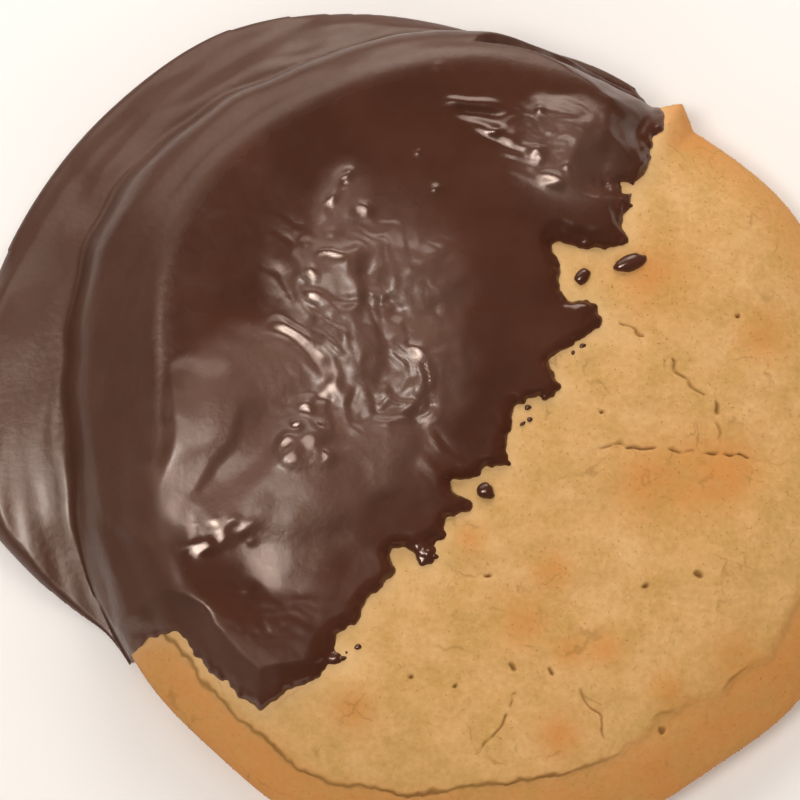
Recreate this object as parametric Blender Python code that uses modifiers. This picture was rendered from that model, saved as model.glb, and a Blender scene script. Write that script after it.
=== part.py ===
# Peanut butter biscuit whose far left half is dipped in dark chocolate, lying on the puddle of
# chocolate that ran off it. Metres, +Z up. The origin is on the resting plane under the middle
# of the biscuit, +X is to the right and +Y away from the viewer.

import math

import bmesh
import bpy
from mathutils import Vector

MM = 0.001
WELD_DISTANCE = 0.01 * MM

# Baked biscuit: a turned dome with a flat top, a crease near its rim and a rounded foot
BISCUIT_RADIUS = 44.0 * MM
CROWN_HEIGHT = 12.2 * MM
WAIST_HEIGHT = 3.0 * MM           # height of the widest point
DOME_POWER = 5.0                  # the higher, the flatter the top and the tighter its shoulder
BISCUIT_STEPS = 80                # facets round the biscuit
TOP_SHARES = (0.0, 0.17, 0.33, 0.47, 0.59, 0.69, 0.77, 0.825, 0.85, 0.865, 0.88, 0.9,
              0.935, 0.965, 0.988, 1.0)      # rings of the top, as shares of the radius
FOOT_RINGS = ((0.992, 1.5 * MM), (0.965, 0.5 * MM), (0.9, 0.0))   # rings below the waist
OUTLINE_WAVES = ((2, 0.35 * MM, 0.6), (3, 0.3 * MM, 2.1), (5, 0.25 * MM, 4.0),
                 (9, 0.2 * MM, 1.0), (14, 0.15 * MM, 5.0))       # waves a turn, size, phase
TIP_ANGLE = 60.0                  # a small drawn-out tip of dough beside the chocolate
TIP_SPREAD = 3.5
TIP_REACH = 2.2 * MM
TOP_WAVE = 0.3 * MM               # how uneven the baked top is

# Crease between the cap and the rim: degrees round the biscuit and share of the radius
CREASE_SHARE = 0.865
CREASE_PATH = ((180, 0.9), (215, 0.895), (235, 0.9), (255, 0.885), (272, 0.84), (290, 0.85),
               (303, 0.82), (316, 0.85), (335, 0.87), (0, 0.88), (60, 0.88), (120, 0.88))
CREASE_FADE = ((180, 0.0), (200, 1.0), (330, 1.0), (350, 0.5), (15, 0.0), (100, 0.0))
CREASE_DEPTH = 0.8 * MM
CREASE_HALF_WIDTH = 0.45 * MM
RIM_STEP = 0.5 * MM               # the rim lies this much lower than the cap

# The chocolate under the dipped half lifts it, and the bare edge touches the ground
LIFT = 1.6 * MM
LIFT_ANGLE = 135.0                # direction of the highest lift
LIFT_PIVOT = 0.9 * BISCUIT_RADIUS

# Cracks in the baked top: half width and the points they run through
CRACKS = (
    (0.35 * MM, ((12.1, -0.9), (15.4, -0.5), (18.1, -0.7), (23.5, -1.1), (27.8, -1.5), (31.5, -2.6))),
    (0.35 * MM, ((25.2, 4.8), (25.7, 2.4), (25.9, -0.1), (26.9, -1.5))),
    (0.3 * MM, ((20.4, 9.2), (21.0, 7.8), (22.3, 6.6), (24.7, 4.9))),
    (0.3 * MM, ((14.8, 13.0), (16.2, 12.4), (18.0, 11.4))),
    (0.35 * MM, ((3.4, -27.0), (2.8, -28.4), (2.3, -30.2), (0.7, -32.2), (-1.3, -34.0))),
    (0.35 * MM, ((10.6, -26.4), (11.2, -28.2), (12.6, -30.0), (13.2, -32.4))),
)
CRACK_SIDES = 2                   # bevel resolution of a crack's cutter
CRACK_END = 0.35                  # how much of its width a crack keeps at its ends
PIT_RADIUS = 0.7 * MM
PIT_RISE = 0.15 * MM              # a pit's middle over the surface
PITS = ((13.0, 3.0), (0.3, -14.8), (3.0, -24.4), (7.4, -24.9), (-7.6, -25.6), (17.6, -15.7),
        (19.4, -31.0), (23.2, -14.6), (27.8, 14.2), (-2.9, -26.4))

# Chocolate drops on the bare half: place, half length, half width, rise, turn in degrees
DROPS = (
    ((16.3, 19.8), 1.9 * MM, 1.1 * MM, 0.9 * MM, 25),
    ((11.0, 18.1), 0.9 * MM, 0.7 * MM, 0.6 * MM, 0),
    ((0.4, -5.6), 1.2 * MM, 0.9 * MM, 0.8 * MM, 60),
)
DROP_SINK = 0.2 * MM              # a drop's middle under the surface

# Chocolate coat: a flat cap, a flank that slopes down from the shoulder, and the puddle round it
COAT_THICKNESS = 1.15 * MM
LEAST_THICKNESS = 0.8 * MM        # over the rim of the biscuit
HIGHEST = 16.6 * MM
COAT_STEPS = 100                  # facets round the coat
WIDEST_SKIRT = 14 * MM            # width of the puddle outside the biscuit
NARROWEST_SKIRT = 1.2 * MM
CLEARANCE = 0.3 * MM              # between the biscuit and the coat
CAP_SHARES = (0.0, 0.1, 0.19, 0.28, 0.37, 0.46, 0.55, 0.63, 0.71, 0.79, 0.87, 0.94, 1.0)
FLANK_SHARES = (0.14, 0.28, 0.42, 0.56, 0.7, 0.82, 0.92, 1.0)    # rings from the shoulder down
PUDDLE_SHARES = (0.15, 0.35, 0.58, 0.8, 1.0)                     # rings over the puddle
EDGE_INSETS = (0.8, 0.45, 0.15, 0.0)     # last rings, as shares of the puddle's rounded rim

# Round the coat, in degrees and millimetres from the middle
PUDDLE_REACH = ((0, 45.6), (30, 45.6), (55, 46.0), (65, 46.4), (75, 47.6), (83, 48.2),
                (90, 49.4), (105, 53.6), (120, 57.5), (135, 58.4), (150, 58.6), (165, 58.2),
                (178, 57.2), (187, 55.6), (194, 52.0), (200, 48.6), (206, 45.8), (214, 45.3),
                (250, 45.6), (310, 45.6))
SHOULDER = ((0, 41), (60, 41.2), (75, 41.8), (82, 42.1), (90, 42.7), (105, 42.4), (120, 42.2),
            (134, 42.0), (142, 41.2), (150, 40.0), (157, 38.4), (168, 36.0), (180, 35.0), (190, 36.8),
            (197, 37.6), (205, 37.6), (215, 39), (230, 40.5), (300, 41))
FLANK_END = ((0, 44.8), (60, 45.4), (75, 46.4), (90, 47.6), (105, 47.9), (115, 48.2), (127, 49.4),
             (137, 50.2), (147, 50.4), (157, 49.2), (168, 47.2), (180, 45.8), (195, 45), (205, 44.9),
             (215, 44.8), (300, 44.8))
FLANK_SLOPE = ((0, 0.6), (60, 0.5), (90, 0.5), (145, 0.5), (160, 0.62), (180, 0.72), (210, 0.72),
               (230, 0.6))        # fall for each millimetre outward, at the top of the flank
SHOULDER_BLEND = 0.8 * MM
FLANK_DROP = 12.0 * MM
FLANK_POWER = 8                   # the higher, the later the flank turns steep
SKIRT_BLEND = 1.2 * MM            # how softly the flank runs out into the puddle

PUDDLE_HEIGHT = 4.0 * MM
PUDDLE_BULGE = ((0, 1), (90, 1), (150, 1), (166, 0), (200, 0), (230, 1))   # how much it bulges
BULGE_FALL = 0.48                 # fall of the bulge for each millimetre outward
BULGE_FROM = 1.4 * MM             # width of the level strip between the flank and the bulge
LEVEL_FALL = 0.04                 # the same where the puddle is level
RIM_WIDTH = 2.6 * MM              # width of the rounded rim on the ground, where it is widest
SOLE_RISE = 0.02 * MM             # the sole clears the ground by this much, but for its lowest spots
SOLE_SPOTS = (64.8, 126.0, 187.2, 230.4)      # where its edge touches the ground, in degrees

# Bands of chocolate that ran down and set over each other: radius, half width, rise, and the
# angles between which they show, all in millimetres and degrees
FLOW_BANDS = (
    ((152, 47.6), (162, 46.4), (179, 44.9), (191, 44.0), (202, 43.2), 1.2, 0.2),
    ((186, 42.2), (191, 41.1), (195, 39.3), (199, 37.1), (210, 38.6), 0.8, 0.4),
)

# Lobes of the dipped crown: x, y, half length, half width, turn in degrees, rise, skew and how
# flat it is. A lobe rises slowly away from the near left and drops off behind.
LOBE_LEAN = 42.0                  # direction in which they rise, in degrees
LOBES = (
    (-28.8, 3.4, 8.8, 9.4, 20, 1.6, 0.6, 2.2),
    (-18.6, -4.4, 12.0, 9.2, 30, 1.6, 0.6, 2.2),
    (-12.4, 12.0, 9.4, 16.0, -6, 0.7, 0.6, 2.0),
    (10.0, 31.4, 6.8, 6.4, -20, 1.0, 0.9, 2.4),
)
FOLDED_LOBES = (                  # smaller lobes that lie on them, with the same numbers
    (-10.4, -1.0, 4.2, 3.8, 0, 0.7, 0.6, 2.2),
    (-16.0, 18.0, 4.4, 4.2, 8, 0.8, 0.6, 2.2),
    (-14.6, 9.0, 5.0, 5.4, 28, 0.8, 0.6, 2.2),
    (-6.0, 8.0, 4.4, 5.8, 6, 0.8, 0.7, 2.2),
    (-7.6, 17.2, 5.6, 5.0, -24, 0.8, 0.7, 2.2),
    (-13.6, 25.4, 3.6, 5.0, -10, 0.6, 0.6, 2.2),
)
LOBE_BLEND = 0.12 * MM
CAP_DIP = (-23.0, 13.0, 4.5, 9.0, 0.4)   # a shallow hollow before them: x, y, reaches and depth

# Edge of the dip over the biscuit, from its far right end to its near left end
DIP_EDGE = (
    (22.6, 43.4), (20.9, 39.8), (20.4, 37.0), (19.6, 35.3), (19.0, 33.9), (19.2, 31.2),
    (18.0, 29.3), (15.8, 28.8), (13.4, 29.3), (16.3, 27.6), (16.8, 26.2), (15.4, 25.5),
    (16.0, 22.6), (14.1, 21.2), (12.2, 21.4), (7.7, 22.2), (8.2, 20.2), (8.9, 16.4),
    (9.9, 15.4), (11.4, 15.9), (12.8, 14.8), (12.9, 12.1), (11.4, 11.3), (8.2, 9.6),
    (7.1, 8.2), (8.2, 7.2), (8.4, 5.2), (6.7, 4.6), (3.7, 3.9), (3.3, 2.1), (2.5, -0.7),
    (2.9, -2.7), (0.5, -3.0), (-0.7, -4.1), (-3.6, -4.5), (-2.2, -6.0), (-1.4, -7.8),
    (-4.0, -9.2), (-4.5, -10.9), (-5.4, -12.4), (-5.9, -14.2), (-7.0, -13.6), (-7.6, -11.8),
    (-9.9, -12.0), (-9.7, -13.9), (-11.3, -16.4), (-13.0, -17.5), (-13.3, -19.5),
    (-16.1, -21.6), (-16.2, -22.7), (-13.9, -23.0), (-15.0, -24.3), (-17.1, -24.6),
    (-19.8, -26.4), (-21.8, -27.3), (-23.7, -28.9), (-26.1, -27.4), (-29.4, -24.8),
    (-32.0, -22.6), (-34.0, -20.9), (-36.4, -21.4), (-39.6, -23.2),
)
DIP_FAR_SIDE = ((-75.0, -28.0), (-75.0, 75.0), (26.0, 75.0))
DIP_HALF_HEIGHT = 30.0 * MM

BISCUIT_COLOUR = (0.63, 0.34, 0.115, 1.0)
CHOCOLATE_COLOUR = (0.07, 0.026, 0.014, 1.0)


def clear_scene():
    for thing in list(bpy.data.objects):
        bpy.data.objects.remove(thing, do_unlink=True)


def new_collection(name):
    collection = bpy.data.collections.new(name)
    bpy.context.scene.collection.children.link(collection)
    return collection


def material(name, colour, roughness):
    made = bpy.data.materials.new(name)
    made.use_nodes = True
    shader = made.node_tree.nodes["Principled BSDF"]
    shader.inputs["Base Color"].default_value = colour
    shader.inputs["Roughness"].default_value = roughness
    shader.inputs["Metallic"].default_value = 0.0
    return made


def add_object(name, data, collection):
    made = bpy.data.objects.new(name, data)
    collection.objects.link(made)
    return made


def evaluated_mesh(source):
    bpy.context.view_layer.update()
    shown = source.evaluated_get(bpy.context.evaluated_depsgraph_get())
    return bpy.data.meshes.new_from_object(shown)


def remove_object(thing):
    bpy.data.objects.remove(thing, do_unlink=True)


def weld(thing):
    """Joins the loose caps and corners of a mesh made from a curve."""
    mesh = bmesh.new()
    mesh.from_mesh(thing.data)
    bmesh.ops.remove_doubles(mesh, verts=mesh.verts[:], dist=WELD_DISTANCE)
    bmesh.ops.recalc_face_normals(mesh, faces=mesh.faces[:])
    mesh.to_mesh(thing.data)
    mesh.free()


def mesh_from_curve(name, curve, collection):
    guide = add_object(name + "_path", curve, collection)
    made = add_object(name, evaluated_mesh(guide), collection)
    remove_object(guide)
    weld(made)
    return made


def poly_line(curve, points):
    line = curve.splines.new("POLY")
    line.points.add(len(points) - 1)
    for point, place in zip(line.points, points):
        point.co = (*place, 1.0)
    return line


def smooth_step(low, high, value):
    share = min(max((value - low) / (high - low), 0.0), 1.0)
    return share * share * (3.0 - 2.0 * share)


def smooth_max(first, second, blend):
    near = max(blend - abs(first - second), 0.0) / blend
    return max(first, second) + near * near * blend * 0.25


def round_value(pairs, angle):
    """A closed smooth curve through (degrees, value) pairs, read at an angle in degrees."""
    stops = sorted((degrees % 360, value) for degrees, value in pairs)
    count = len(stops)
    angle = angle % 360
    after = next((i for i, stop in enumerate(stops) if stop[0] > angle), 0)
    nearest = [stops[(after + step) % count] for step in (-2, -1, 0, 1)]
    start = nearest[1][0]
    span = (nearest[2][0] - start) % 360
    share = ((angle - start) % 360) / span
    slopes = []
    for k in (1, 2):
        width = (nearest[k + 1][0] - nearest[k - 1][0]) % 360
        slopes.append((nearest[k + 1][1] - nearest[k - 1][1]) / width * span)
    low, high = nearest[1][1], nearest[2][1]
    return ((2 * share**3 - 3 * share**2 + 1) * low + (share**3 - 2 * share**2 + share) * slopes[0]
            + (3 * share**2 - 2 * share**3) * high + (share**3 - share**2) * slopes[1])


def angle_of(x, y):
    return math.degrees(math.atan2(y, x)) % 360


def angle_apart(first, second):
    return abs((first - second + 180) % 360 - 180)


def outline_radius(angle):
    """Uneven outline of the biscuit."""
    turn = math.radians(angle)
    radius = BISCUIT_RADIUS
    for waves, size, phase in OUTLINE_WAVES:
        radius += size * math.sin(waves * turn + phase)
    tip = max(1.0 - angle_apart(angle, TIP_ANGLE) / TIP_SPREAD, 0.0)
    return radius + TIP_REACH * tip


def lift_at(x, y):
    turn = math.radians(LIFT_ANGLE)
    along = x * math.cos(turn) + y * math.sin(turn)
    return LIFT * 0.5 * (1.0 + along / LIFT_PIVOT)


def dome(share, crown):
    fall = math.sqrt(max(1.0 - share**DOME_POWER, 0.0))
    return WAIST_HEIGHT + (crown - WAIST_HEIGHT) * fall


def crease_dip(share, angle):
    """How far the crease and the rim outside it lie below the plain dome."""
    fade = min(max(round_value(CREASE_FADE, angle), 0.0), 1.0)
    away = (share - CREASE_SHARE) * BISCUIT_RADIUS
    groove = CREASE_DEPTH * math.exp(-(away / CREASE_HALF_WIDTH) ** 2)
    step = RIM_STEP * smooth_step(-0.2 * MM, 0.8 * MM, away) * (1.0 - smooth_step(0.95, 1.0, share))
    return fade * (groove + step)


def top_unevenness(x, y):
    return TOP_WAVE * (math.sin(x / (8.5 * MM) + 0.7) * math.cos(y / (10 * MM) - 0.4)
                       + 0.5 * math.sin((x - y) / (5.5 * MM)))


def warped_share(share, angle):
    """Moves the ring of the crease to the crease's own path."""
    shift = round_value(CREASE_PATH, angle) - CREASE_SHARE
    if share < CREASE_SHARE:
        return share + shift * share / CREASE_SHARE
    return share + shift * (1.0 - share) / (1.0 - CREASE_SHARE)


def biscuit_top(x, y):
    """Height of the uncracked top of the biscuit over the ground."""
    share = min(math.hypot(x, y) / outline_radius(angle_of(x, y)), 1.0)
    uneven = top_unevenness(x, y) * (1.0 - share**4)
    return dome(share, CROWN_HEIGHT) + uneven + lift_at(x, y)


def turned_object(name, profile, steps, collection):
    """A profile of (radius, height) points, from the top down, turned about Z."""
    outline = bpy.data.meshes.new(name)
    outline.from_pydata([(radius, 0.0, height) for radius, height in profile],
                        [(i, i + 1) for i in range(len(profile) - 1)], [])
    lathe = add_object(name + "_profile", outline, collection)
    screw = lathe.modifiers.new("Turn", "SCREW")
    screw.axis = "Z"
    screw.steps = steps
    screw.render_steps = steps
    screw.use_merge_vertices = True
    screw.merge_threshold = WELD_DISTANCE
    made = add_object(name, evaluated_mesh(lathe), collection)
    made.data.name = name
    remove_object(lathe)
    return made


def reshape(thing, shape, swell=0.0):
    """Moves each point of a turned object by a rule, then swells it along its normals."""
    mesh = bmesh.new()
    mesh.from_mesh(thing.data)
    for vert in mesh.verts:
        vert.co = shape(vert.co)
    bmesh.ops.triangulate(mesh, faces=mesh.faces[:], quad_method="SHORT_EDGE")
    mesh.normal_update()
    if swell:
        moves = [vert.normal * swell for vert in mesh.verts]
        for vert, move in zip(mesh.verts, moves):
            vert.co += move
    mesh.to_mesh(thing.data)
    mesh.free()
    thing.data.shade_smooth()


def biscuit_body(name, collection, swell=0.0):
    profile = [(share * BISCUIT_RADIUS, dome(share, CROWN_HEIGHT)) for share in TOP_SHARES]
    profile += [(share * BISCUIT_RADIUS, height) for share, height in FOOT_RINGS]
    profile.append((0.0, 0.0))

    def shape(point):
        angle = angle_of(point.x, point.y)
        share = math.hypot(point.x, point.y) / BISCUIT_RADIUS
        is_top = point.z > 0.9 * WAIST_HEIGHT
        dip = crease_dip(share, angle) if is_top else 0.0
        moved = warped_share(share, angle) if is_top else share
        radius = moved * outline_radius(angle)
        x = radius * math.cos(math.radians(angle))
        y = radius * math.sin(math.radians(angle))
        height = biscuit_top(x, y) - dip if is_top else point.z + lift_at(x, y)
        return Vector((x, y, height))

    body = turned_object(name, profile, BISCUIT_STEPS, collection)
    reshape(body, shape, swell)
    return body


def add_crack(name, half_width, points, collection):
    """A thin tapered tube along the surface, which cuts a crack."""
    data = bpy.data.curves.new(name, "CURVE")
    data.dimensions = "3D"
    data.bevel_depth = half_width
    data.bevel_resolution = CRACK_SIDES
    data.use_fill_caps = True
    places = [(x * MM, y * MM, biscuit_top(x * MM, y * MM)) for x, y in points]
    line = poly_line(data, places)
    line.points[0].radius = CRACK_END
    line.points[-1].radius = CRACK_END
    return mesh_from_curve(name, data, collection)


def add_pit(name, x, y, collection):
    mesh = bmesh.new()
    bmesh.ops.create_icosphere(mesh, subdivisions=1, radius=PIT_RADIUS)
    data = bpy.data.meshes.new(name)
    mesh.to_mesh(data)
    mesh.free()
    pit = add_object(name, data, collection)
    pit.location = (x * MM, y * MM, biscuit_top(x * MM, y * MM) + PIT_RISE)
    return pit


def add_drop(name, place, half_length, half_width, rise, turn, collection):
    mesh = bmesh.new()
    bmesh.ops.create_uvsphere(mesh, u_segments=10, v_segments=6, radius=1.0)
    for vert in mesh.verts:
        vert.co.x *= half_length
        vert.co.y *= half_width
        vert.co.z *= rise
    data = bpy.data.meshes.new(name)
    mesh.to_mesh(data)
    mesh.free()
    drop = add_object(name, data, collection)
    x, y = place[0] * MM, place[1] * MM
    drop.location = (x, y, biscuit_top(x, y) - DROP_SINK)
    drop.rotation_euler.z = math.radians(turn)
    return drop


def apply_boolean(target, operation, cutter):
    """Cuts or joins with an object or with a whole collection of them."""
    boolean = target.modifiers.new("Cut", "BOOLEAN")
    boolean.operation = operation
    boolean.solver = "EXACT"
    if isinstance(cutter, bpy.types.Collection):
        boolean.operand_type = "COLLECTION"
        boolean.collection = cutter
    else:
        boolean.object = cutter
    done = evaluated_mesh(target)
    target.modifiers.clear()
    target.data = done
    done.name = target.name


def empty_collection(collection):
    for thing in list(collection.objects):
        remove_object(thing)
    bpy.data.collections.remove(collection)


def make_biscuit(collection):
    biscuit = biscuit_body("biscuit", collection)
    cuts = new_collection("cracks")
    for i, (half_width, points) in enumerate(CRACKS):
        add_crack(f"crack_{i}", half_width, points, cuts)
    for i, (x, y) in enumerate(PITS):
        add_pit(f"pit_{i}", x, y, cuts)
    apply_boolean(biscuit, "DIFFERENCE", cuts)
    empty_collection(cuts)
    drops = new_collection("drops")
    for i, drop in enumerate(DROPS):
        add_drop(f"drop_{i}", *drop, drops)
    apply_boolean(biscuit, "UNION", drops)
    empty_collection(drops)
    biscuit.data.materials.clear()
    biscuit.data.materials.append(material("baked_dough", BISCUIT_COLOUR, 0.85))
    return biscuit


def puddle_reach(angle):
    return round_value(PUDDLE_REACH, angle) * MM


def flow_rise(radius, angle):
    """Rise of the bands of chocolate that ran down and set."""
    total = 0.0
    for *path, half_width, rise in FLOW_BANDS:
        first, last = path[0][0], path[-1][0]
        fade = smooth_step(first - 4, first + 6, angle) * (1.0 - smooth_step(last - 6, last + 4, angle))
        if fade > 0.0:
            spot = min(max(angle, first), last)
            after = next(i for i, stop in enumerate(path) if stop[0] >= spot and i > 0)
            low, high = path[after - 1], path[after]
            share = (spot - low[0]) / (high[0] - low[0])
            middle = (low[1] + (high[1] - low[1]) * share) * MM
            total += fade * rise * MM * math.exp(-((radius - middle) / (half_width * MM)) ** 2)
    return total


def lobe_rise(x, y, lobe):
    middle_x, middle_y, half_length, half_width, turn, rise, skew, flatness = lobe
    angle, lean = math.radians(turn), math.radians(LOBE_LEAN)
    away_x, away_y = x / MM - middle_x, y / MM - middle_y
    along = (away_x * math.cos(angle) + away_y * math.sin(angle)) / half_length
    across = (away_y * math.cos(angle) - away_x * math.sin(angle)) / half_width
    reach = math.hypot(half_length * math.cos(lean - angle), half_width * math.sin(lean - angle))
    behind = (away_x * math.cos(lean) + away_y * math.sin(lean)) / reach
    return rise * MM * (1 - math.hypot(along, across)**flatness) * (1 + skew * min(max(behind, -1.0), 1.0))


def crown_rise(x, y):
    """Rise of the lobes on the dipped crown, less the hollow beside them."""
    total = 0.0
    for lobes in (LOBES, FOLDED_LOBES):
        highest = 0.0
        for lobe in lobes:
            highest = smooth_max(highest, lobe_rise(x, y, lobe), LOBE_BLEND)
        total += highest
    middle_x, middle_y, reach_x, reach_y, depth = CAP_DIP
    away = ((x / MM - middle_x) / reach_x) ** 2 + ((y / MM - middle_y) / reach_y) ** 2
    return total - depth * MM * math.exp(-away)


def cap_height(x, y, radius, shoulder, end, angle):
    """Flat cap of the coat and the flank that falls from its shoulder."""
    slope = round_value(FLANK_SLOPE, angle)
    past = smooth_max(radius - shoulder, 0.0, SHOULDER_BLEND)
    uneven = top_unevenness(x, y) * 0.4 * (1.0 - min(radius / end, 1.0)**4)
    height = CROWN_HEIGHT + COAT_THICKNESS + lift_at(x, y) + uneven - slope * past
    height -= (FLANK_DROP - slope * (end - shoulder)) * (past / (end - shoulder))**FLANK_POWER
    on_cap = 1.0 - smooth_step(-2.0 * MM, -0.2 * MM, radius - shoulder)
    return max(height + on_cap * crown_rise(x, y), 0.0)


def puddle_height(radius, end, skirt, angle):
    bulge = min(max(round_value(PUDDLE_BULGE, angle), 0.0), 1.0)
    bulging = BULGE_FALL * smooth_max(radius - end - BULGE_FROM, 0.0, 1.2 * MM)
    level = LEVEL_FALL * max(radius - end, 0.0)
    return (PUDDLE_HEIGHT - level - (bulging - level) * bulge) * min(skirt / WIDEST_SKIRT, 1.0)


def coat_top(x, y, radius, angle, rim_share):
    """Height of the outer skin of the chocolate, with its edge turned down to the ground."""
    edge = outline_radius(angle)
    shoulder, end = round_value(SHOULDER, angle) * MM, round_value(FLANK_END, angle) * MM
    skirt = max(puddle_reach(angle) - edge, NARROWEST_SKIRT)
    puddle = puddle_height(radius, end, skirt, angle) * rim_share
    height = smooth_max(cap_height(x, y, radius, shoulder, end, angle), puddle, SKIRT_BLEND)
    height += flow_rise(radius, angle) * smooth_step(0.0, 1.5 * MM, height)
    if radius - LEAST_THICKNESS < edge:
        inner = (radius - LEAST_THICKNESS) / max(radius, MM)
        least = biscuit_top(x * inner, y * inner) + 0.6 * LEAST_THICKNESS
        height = smooth_max(height, least, 0.4 * MM)
    return -smooth_max(-height, -HIGHEST, 0.6 * MM)


def coat_radius(ring, angle, rim_width):
    """Radius of a ring of the coat, from the middle over the cap, flank and puddle to its edge."""
    inside = puddle_reach(angle) - rim_width
    end = min(round_value(FLANK_END, angle) * MM, inside - 0.1 * MM)
    shoulder = round_value(SHOULDER, angle) * MM
    if ring < len(CAP_SHARES):
        return CAP_SHARES[ring] * shoulder
    ring -= len(CAP_SHARES)
    if ring < len(FLANK_SHARES):
        return shoulder + FLANK_SHARES[ring] * (end - shoulder)
    ring -= len(FLANK_SHARES)
    if ring < len(PUDDLE_SHARES):
        return end + PUDDLE_SHARES[ring] * (inside - end)
    ring -= len(PUDDLE_SHARES)
    return puddle_reach(angle) - EDGE_INSETS[ring] * rim_width


def make_coat(collection):
    rings = len(CAP_SHARES) + len(FLANK_SHARES) + len(PUDDLE_SHARES) + len(EDGE_INSETS)
    profile = [(ring * MM, (rings - ring) * MM) for ring in range(rings)]   # a plain cone first
    profile.append((0.0, 0.0))

    def shape(point):
        ring = rings - round(point.z / MM)     # counted from the top of the cone
        if ring >= rings:
            return Vector((0.0, 0.0, SOLE_RISE))
        angle = angle_of(point.x, point.y)
        skirt = max(puddle_reach(angle) - outline_radius(angle), NARROWEST_SKIRT)
        rim_width = min(RIM_WIDTH * min(skirt / WIDEST_SKIRT + 0.1, 1.0), 0.7 * skirt)
        radius = coat_radius(ring, angle, rim_width)
        x, y = radius * math.cos(math.radians(angle)), radius * math.sin(math.radians(angle))
        over = max(1.0 - (puddle_reach(angle) - radius) / rim_width, 0.0)
        rim_share = math.sqrt(max(1.0 - over * over, 0.0))
        height = coat_top(x, y, radius, angle, rim_share)
        if ring == rings - 1:
            touching = any(angle_apart(angle, spot) < 180.0 / COAT_STEPS for spot in SOLE_SPOTS)
            height = 0.0 if touching else SOLE_RISE
        return Vector((x, y, height))

    coat = turned_object("chocolate_coat", profile, COAT_STEPS, collection)
    reshape(coat, shape)
    cutters = new_collection("cutters")
    apply_boolean(coat, "INTERSECT", dip_prism(cutters))
    apply_boolean(coat, "DIFFERENCE", biscuit_body("hollow", cutters, CLEARANCE))
    empty_collection(cutters)
    coat.data.materials.clear()
    coat.data.materials.append(material("dark_chocolate", CHOCOLATE_COLOUR, 0.22))
    return coat


def dip_prism(collection):
    """The space that the dipped half takes up, with the ragged edge of the dip."""
    points = DIP_EDGE + DIP_FAR_SIDE
    data = bpy.data.curves.new("dip", "CURVE")
    data.dimensions = "2D"
    data.fill_mode = "BOTH"
    data.extrude = DIP_HALF_HEIGHT
    line = poly_line(data, [(x * MM, y * MM, 0.0) for x, y in points])
    line.use_cyclic_u = True
    return mesh_from_curve("dip", data, collection)


def main():
    clear_scene()
    cookie = new_collection("dipped_biscuit")
    make_biscuit(cookie)
    make_coat(cookie)


main()
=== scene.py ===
import math

import bmesh
import bpy
import numpy as np
from mathutils import Matrix, Vector


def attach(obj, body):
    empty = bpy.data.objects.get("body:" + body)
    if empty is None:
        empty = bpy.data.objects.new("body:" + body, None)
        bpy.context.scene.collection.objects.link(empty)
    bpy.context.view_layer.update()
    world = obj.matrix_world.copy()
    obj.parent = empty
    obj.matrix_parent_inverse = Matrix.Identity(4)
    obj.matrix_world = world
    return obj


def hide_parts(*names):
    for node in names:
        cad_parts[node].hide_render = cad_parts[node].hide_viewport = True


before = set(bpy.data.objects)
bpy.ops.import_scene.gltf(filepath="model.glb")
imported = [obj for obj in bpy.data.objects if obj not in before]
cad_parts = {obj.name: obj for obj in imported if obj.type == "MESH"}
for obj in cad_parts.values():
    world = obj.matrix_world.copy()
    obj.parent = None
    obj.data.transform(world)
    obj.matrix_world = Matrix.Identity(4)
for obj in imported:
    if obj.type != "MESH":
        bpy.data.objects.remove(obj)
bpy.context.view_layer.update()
mm = 0.001


# Small helpers

def linearColour(hexColour):                      # an sRGB hex colour as the linear one that shaders take
    parts = [int(hexColour[i:i + 2], 16) / 255 for i in (1, 3, 5)]
    return tuple(p / 12.92 if p <= 0.04045 else ((p + 0.055) / 1.055) ** 2.4 for p in parts) + (1.0,)


def addNode(tree, kind, inputs=None, stops=None, **settings):     # one node, its settings and its links
    node = tree.nodes.new(kind)
    for name, value in settings.items():
        setattr(node, name, value)
    for key, value in (inputs or {}).items():
        if isinstance(value, bpy.types.Node):                     # a node stands for its first live output
            value = next(output for output in value.outputs if output.enabled)
        if isinstance(value, bpy.types.NodeSocket):
            tree.links.new(value, node.inputs[key])
        else:
            node.inputs[key].default_value = value
    for i, (place, colour) in enumerate(stops or ()):             # the stops of a colour ramp
        if i > 1:
            node.color_ramp.elements.new(place)
        node.color_ramp.elements[i].position = place
        node.color_ramp.elements[i].color = linearColour(colour)
    return node


def perMm(size):                                  # texture scale on metre coordinates for features in mm
    return 1.0 / (size * mm)


def newMaterial(name):
    material = bpy.data.materials.new(name)
    material.use_nodes = True
    material.node_tree.nodes.clear()
    return material, material.node_tree


def addObject(name, data):
    made = bpy.data.objects.new(name, data)
    bpy.context.scene.collection.objects.link(made)
    return made


def evaluatedMesh(source):
    bpy.context.view_layer.update()
    return bpy.data.meshes.new_from_object(source.evaluated_get(bpy.context.evaluated_depsgraph_get()))


def placesOf(mesh):                               # the places of a mesh's points, in mm
    flat = np.empty(len(mesh.vertices) * 3)
    mesh.vertices.foreach_get("co", flat)
    return flat.reshape(-1, 3) / mm


def setPlaces(mesh, places):
    mesh.vertices.foreach_set("co", (places * mm).ravel())
    mesh.update()


def setValues(mesh, name, values):                # a named number on every point, for the materials
    made = mesh.attributes.new(name, "FLOAT", "POINT")
    made.data.foreach_set("value", np.asarray(values, dtype=np.float32))


def finishShape(shape, mesh):
    shape.to_mesh(mesh)
    shape.free()


def smoothStep(low, high, value):
    share = np.clip((value - low) / (high - low), 0.0, 1.0)
    return share * share * (3.0 - 2.0 * share)


def smoothMax(first, second, blend):
    near = np.maximum(blend - np.abs(first - second), 0.0) / blend
    return np.maximum(first, second) + near * near * blend * 0.25


def fadeEnds(along, first, last):                 # 0 at both ends of a path, 1 between these shares of it
    return smoothStep(0.0, first, along) * smoothStep(0.0, last, 1 - along)


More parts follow.
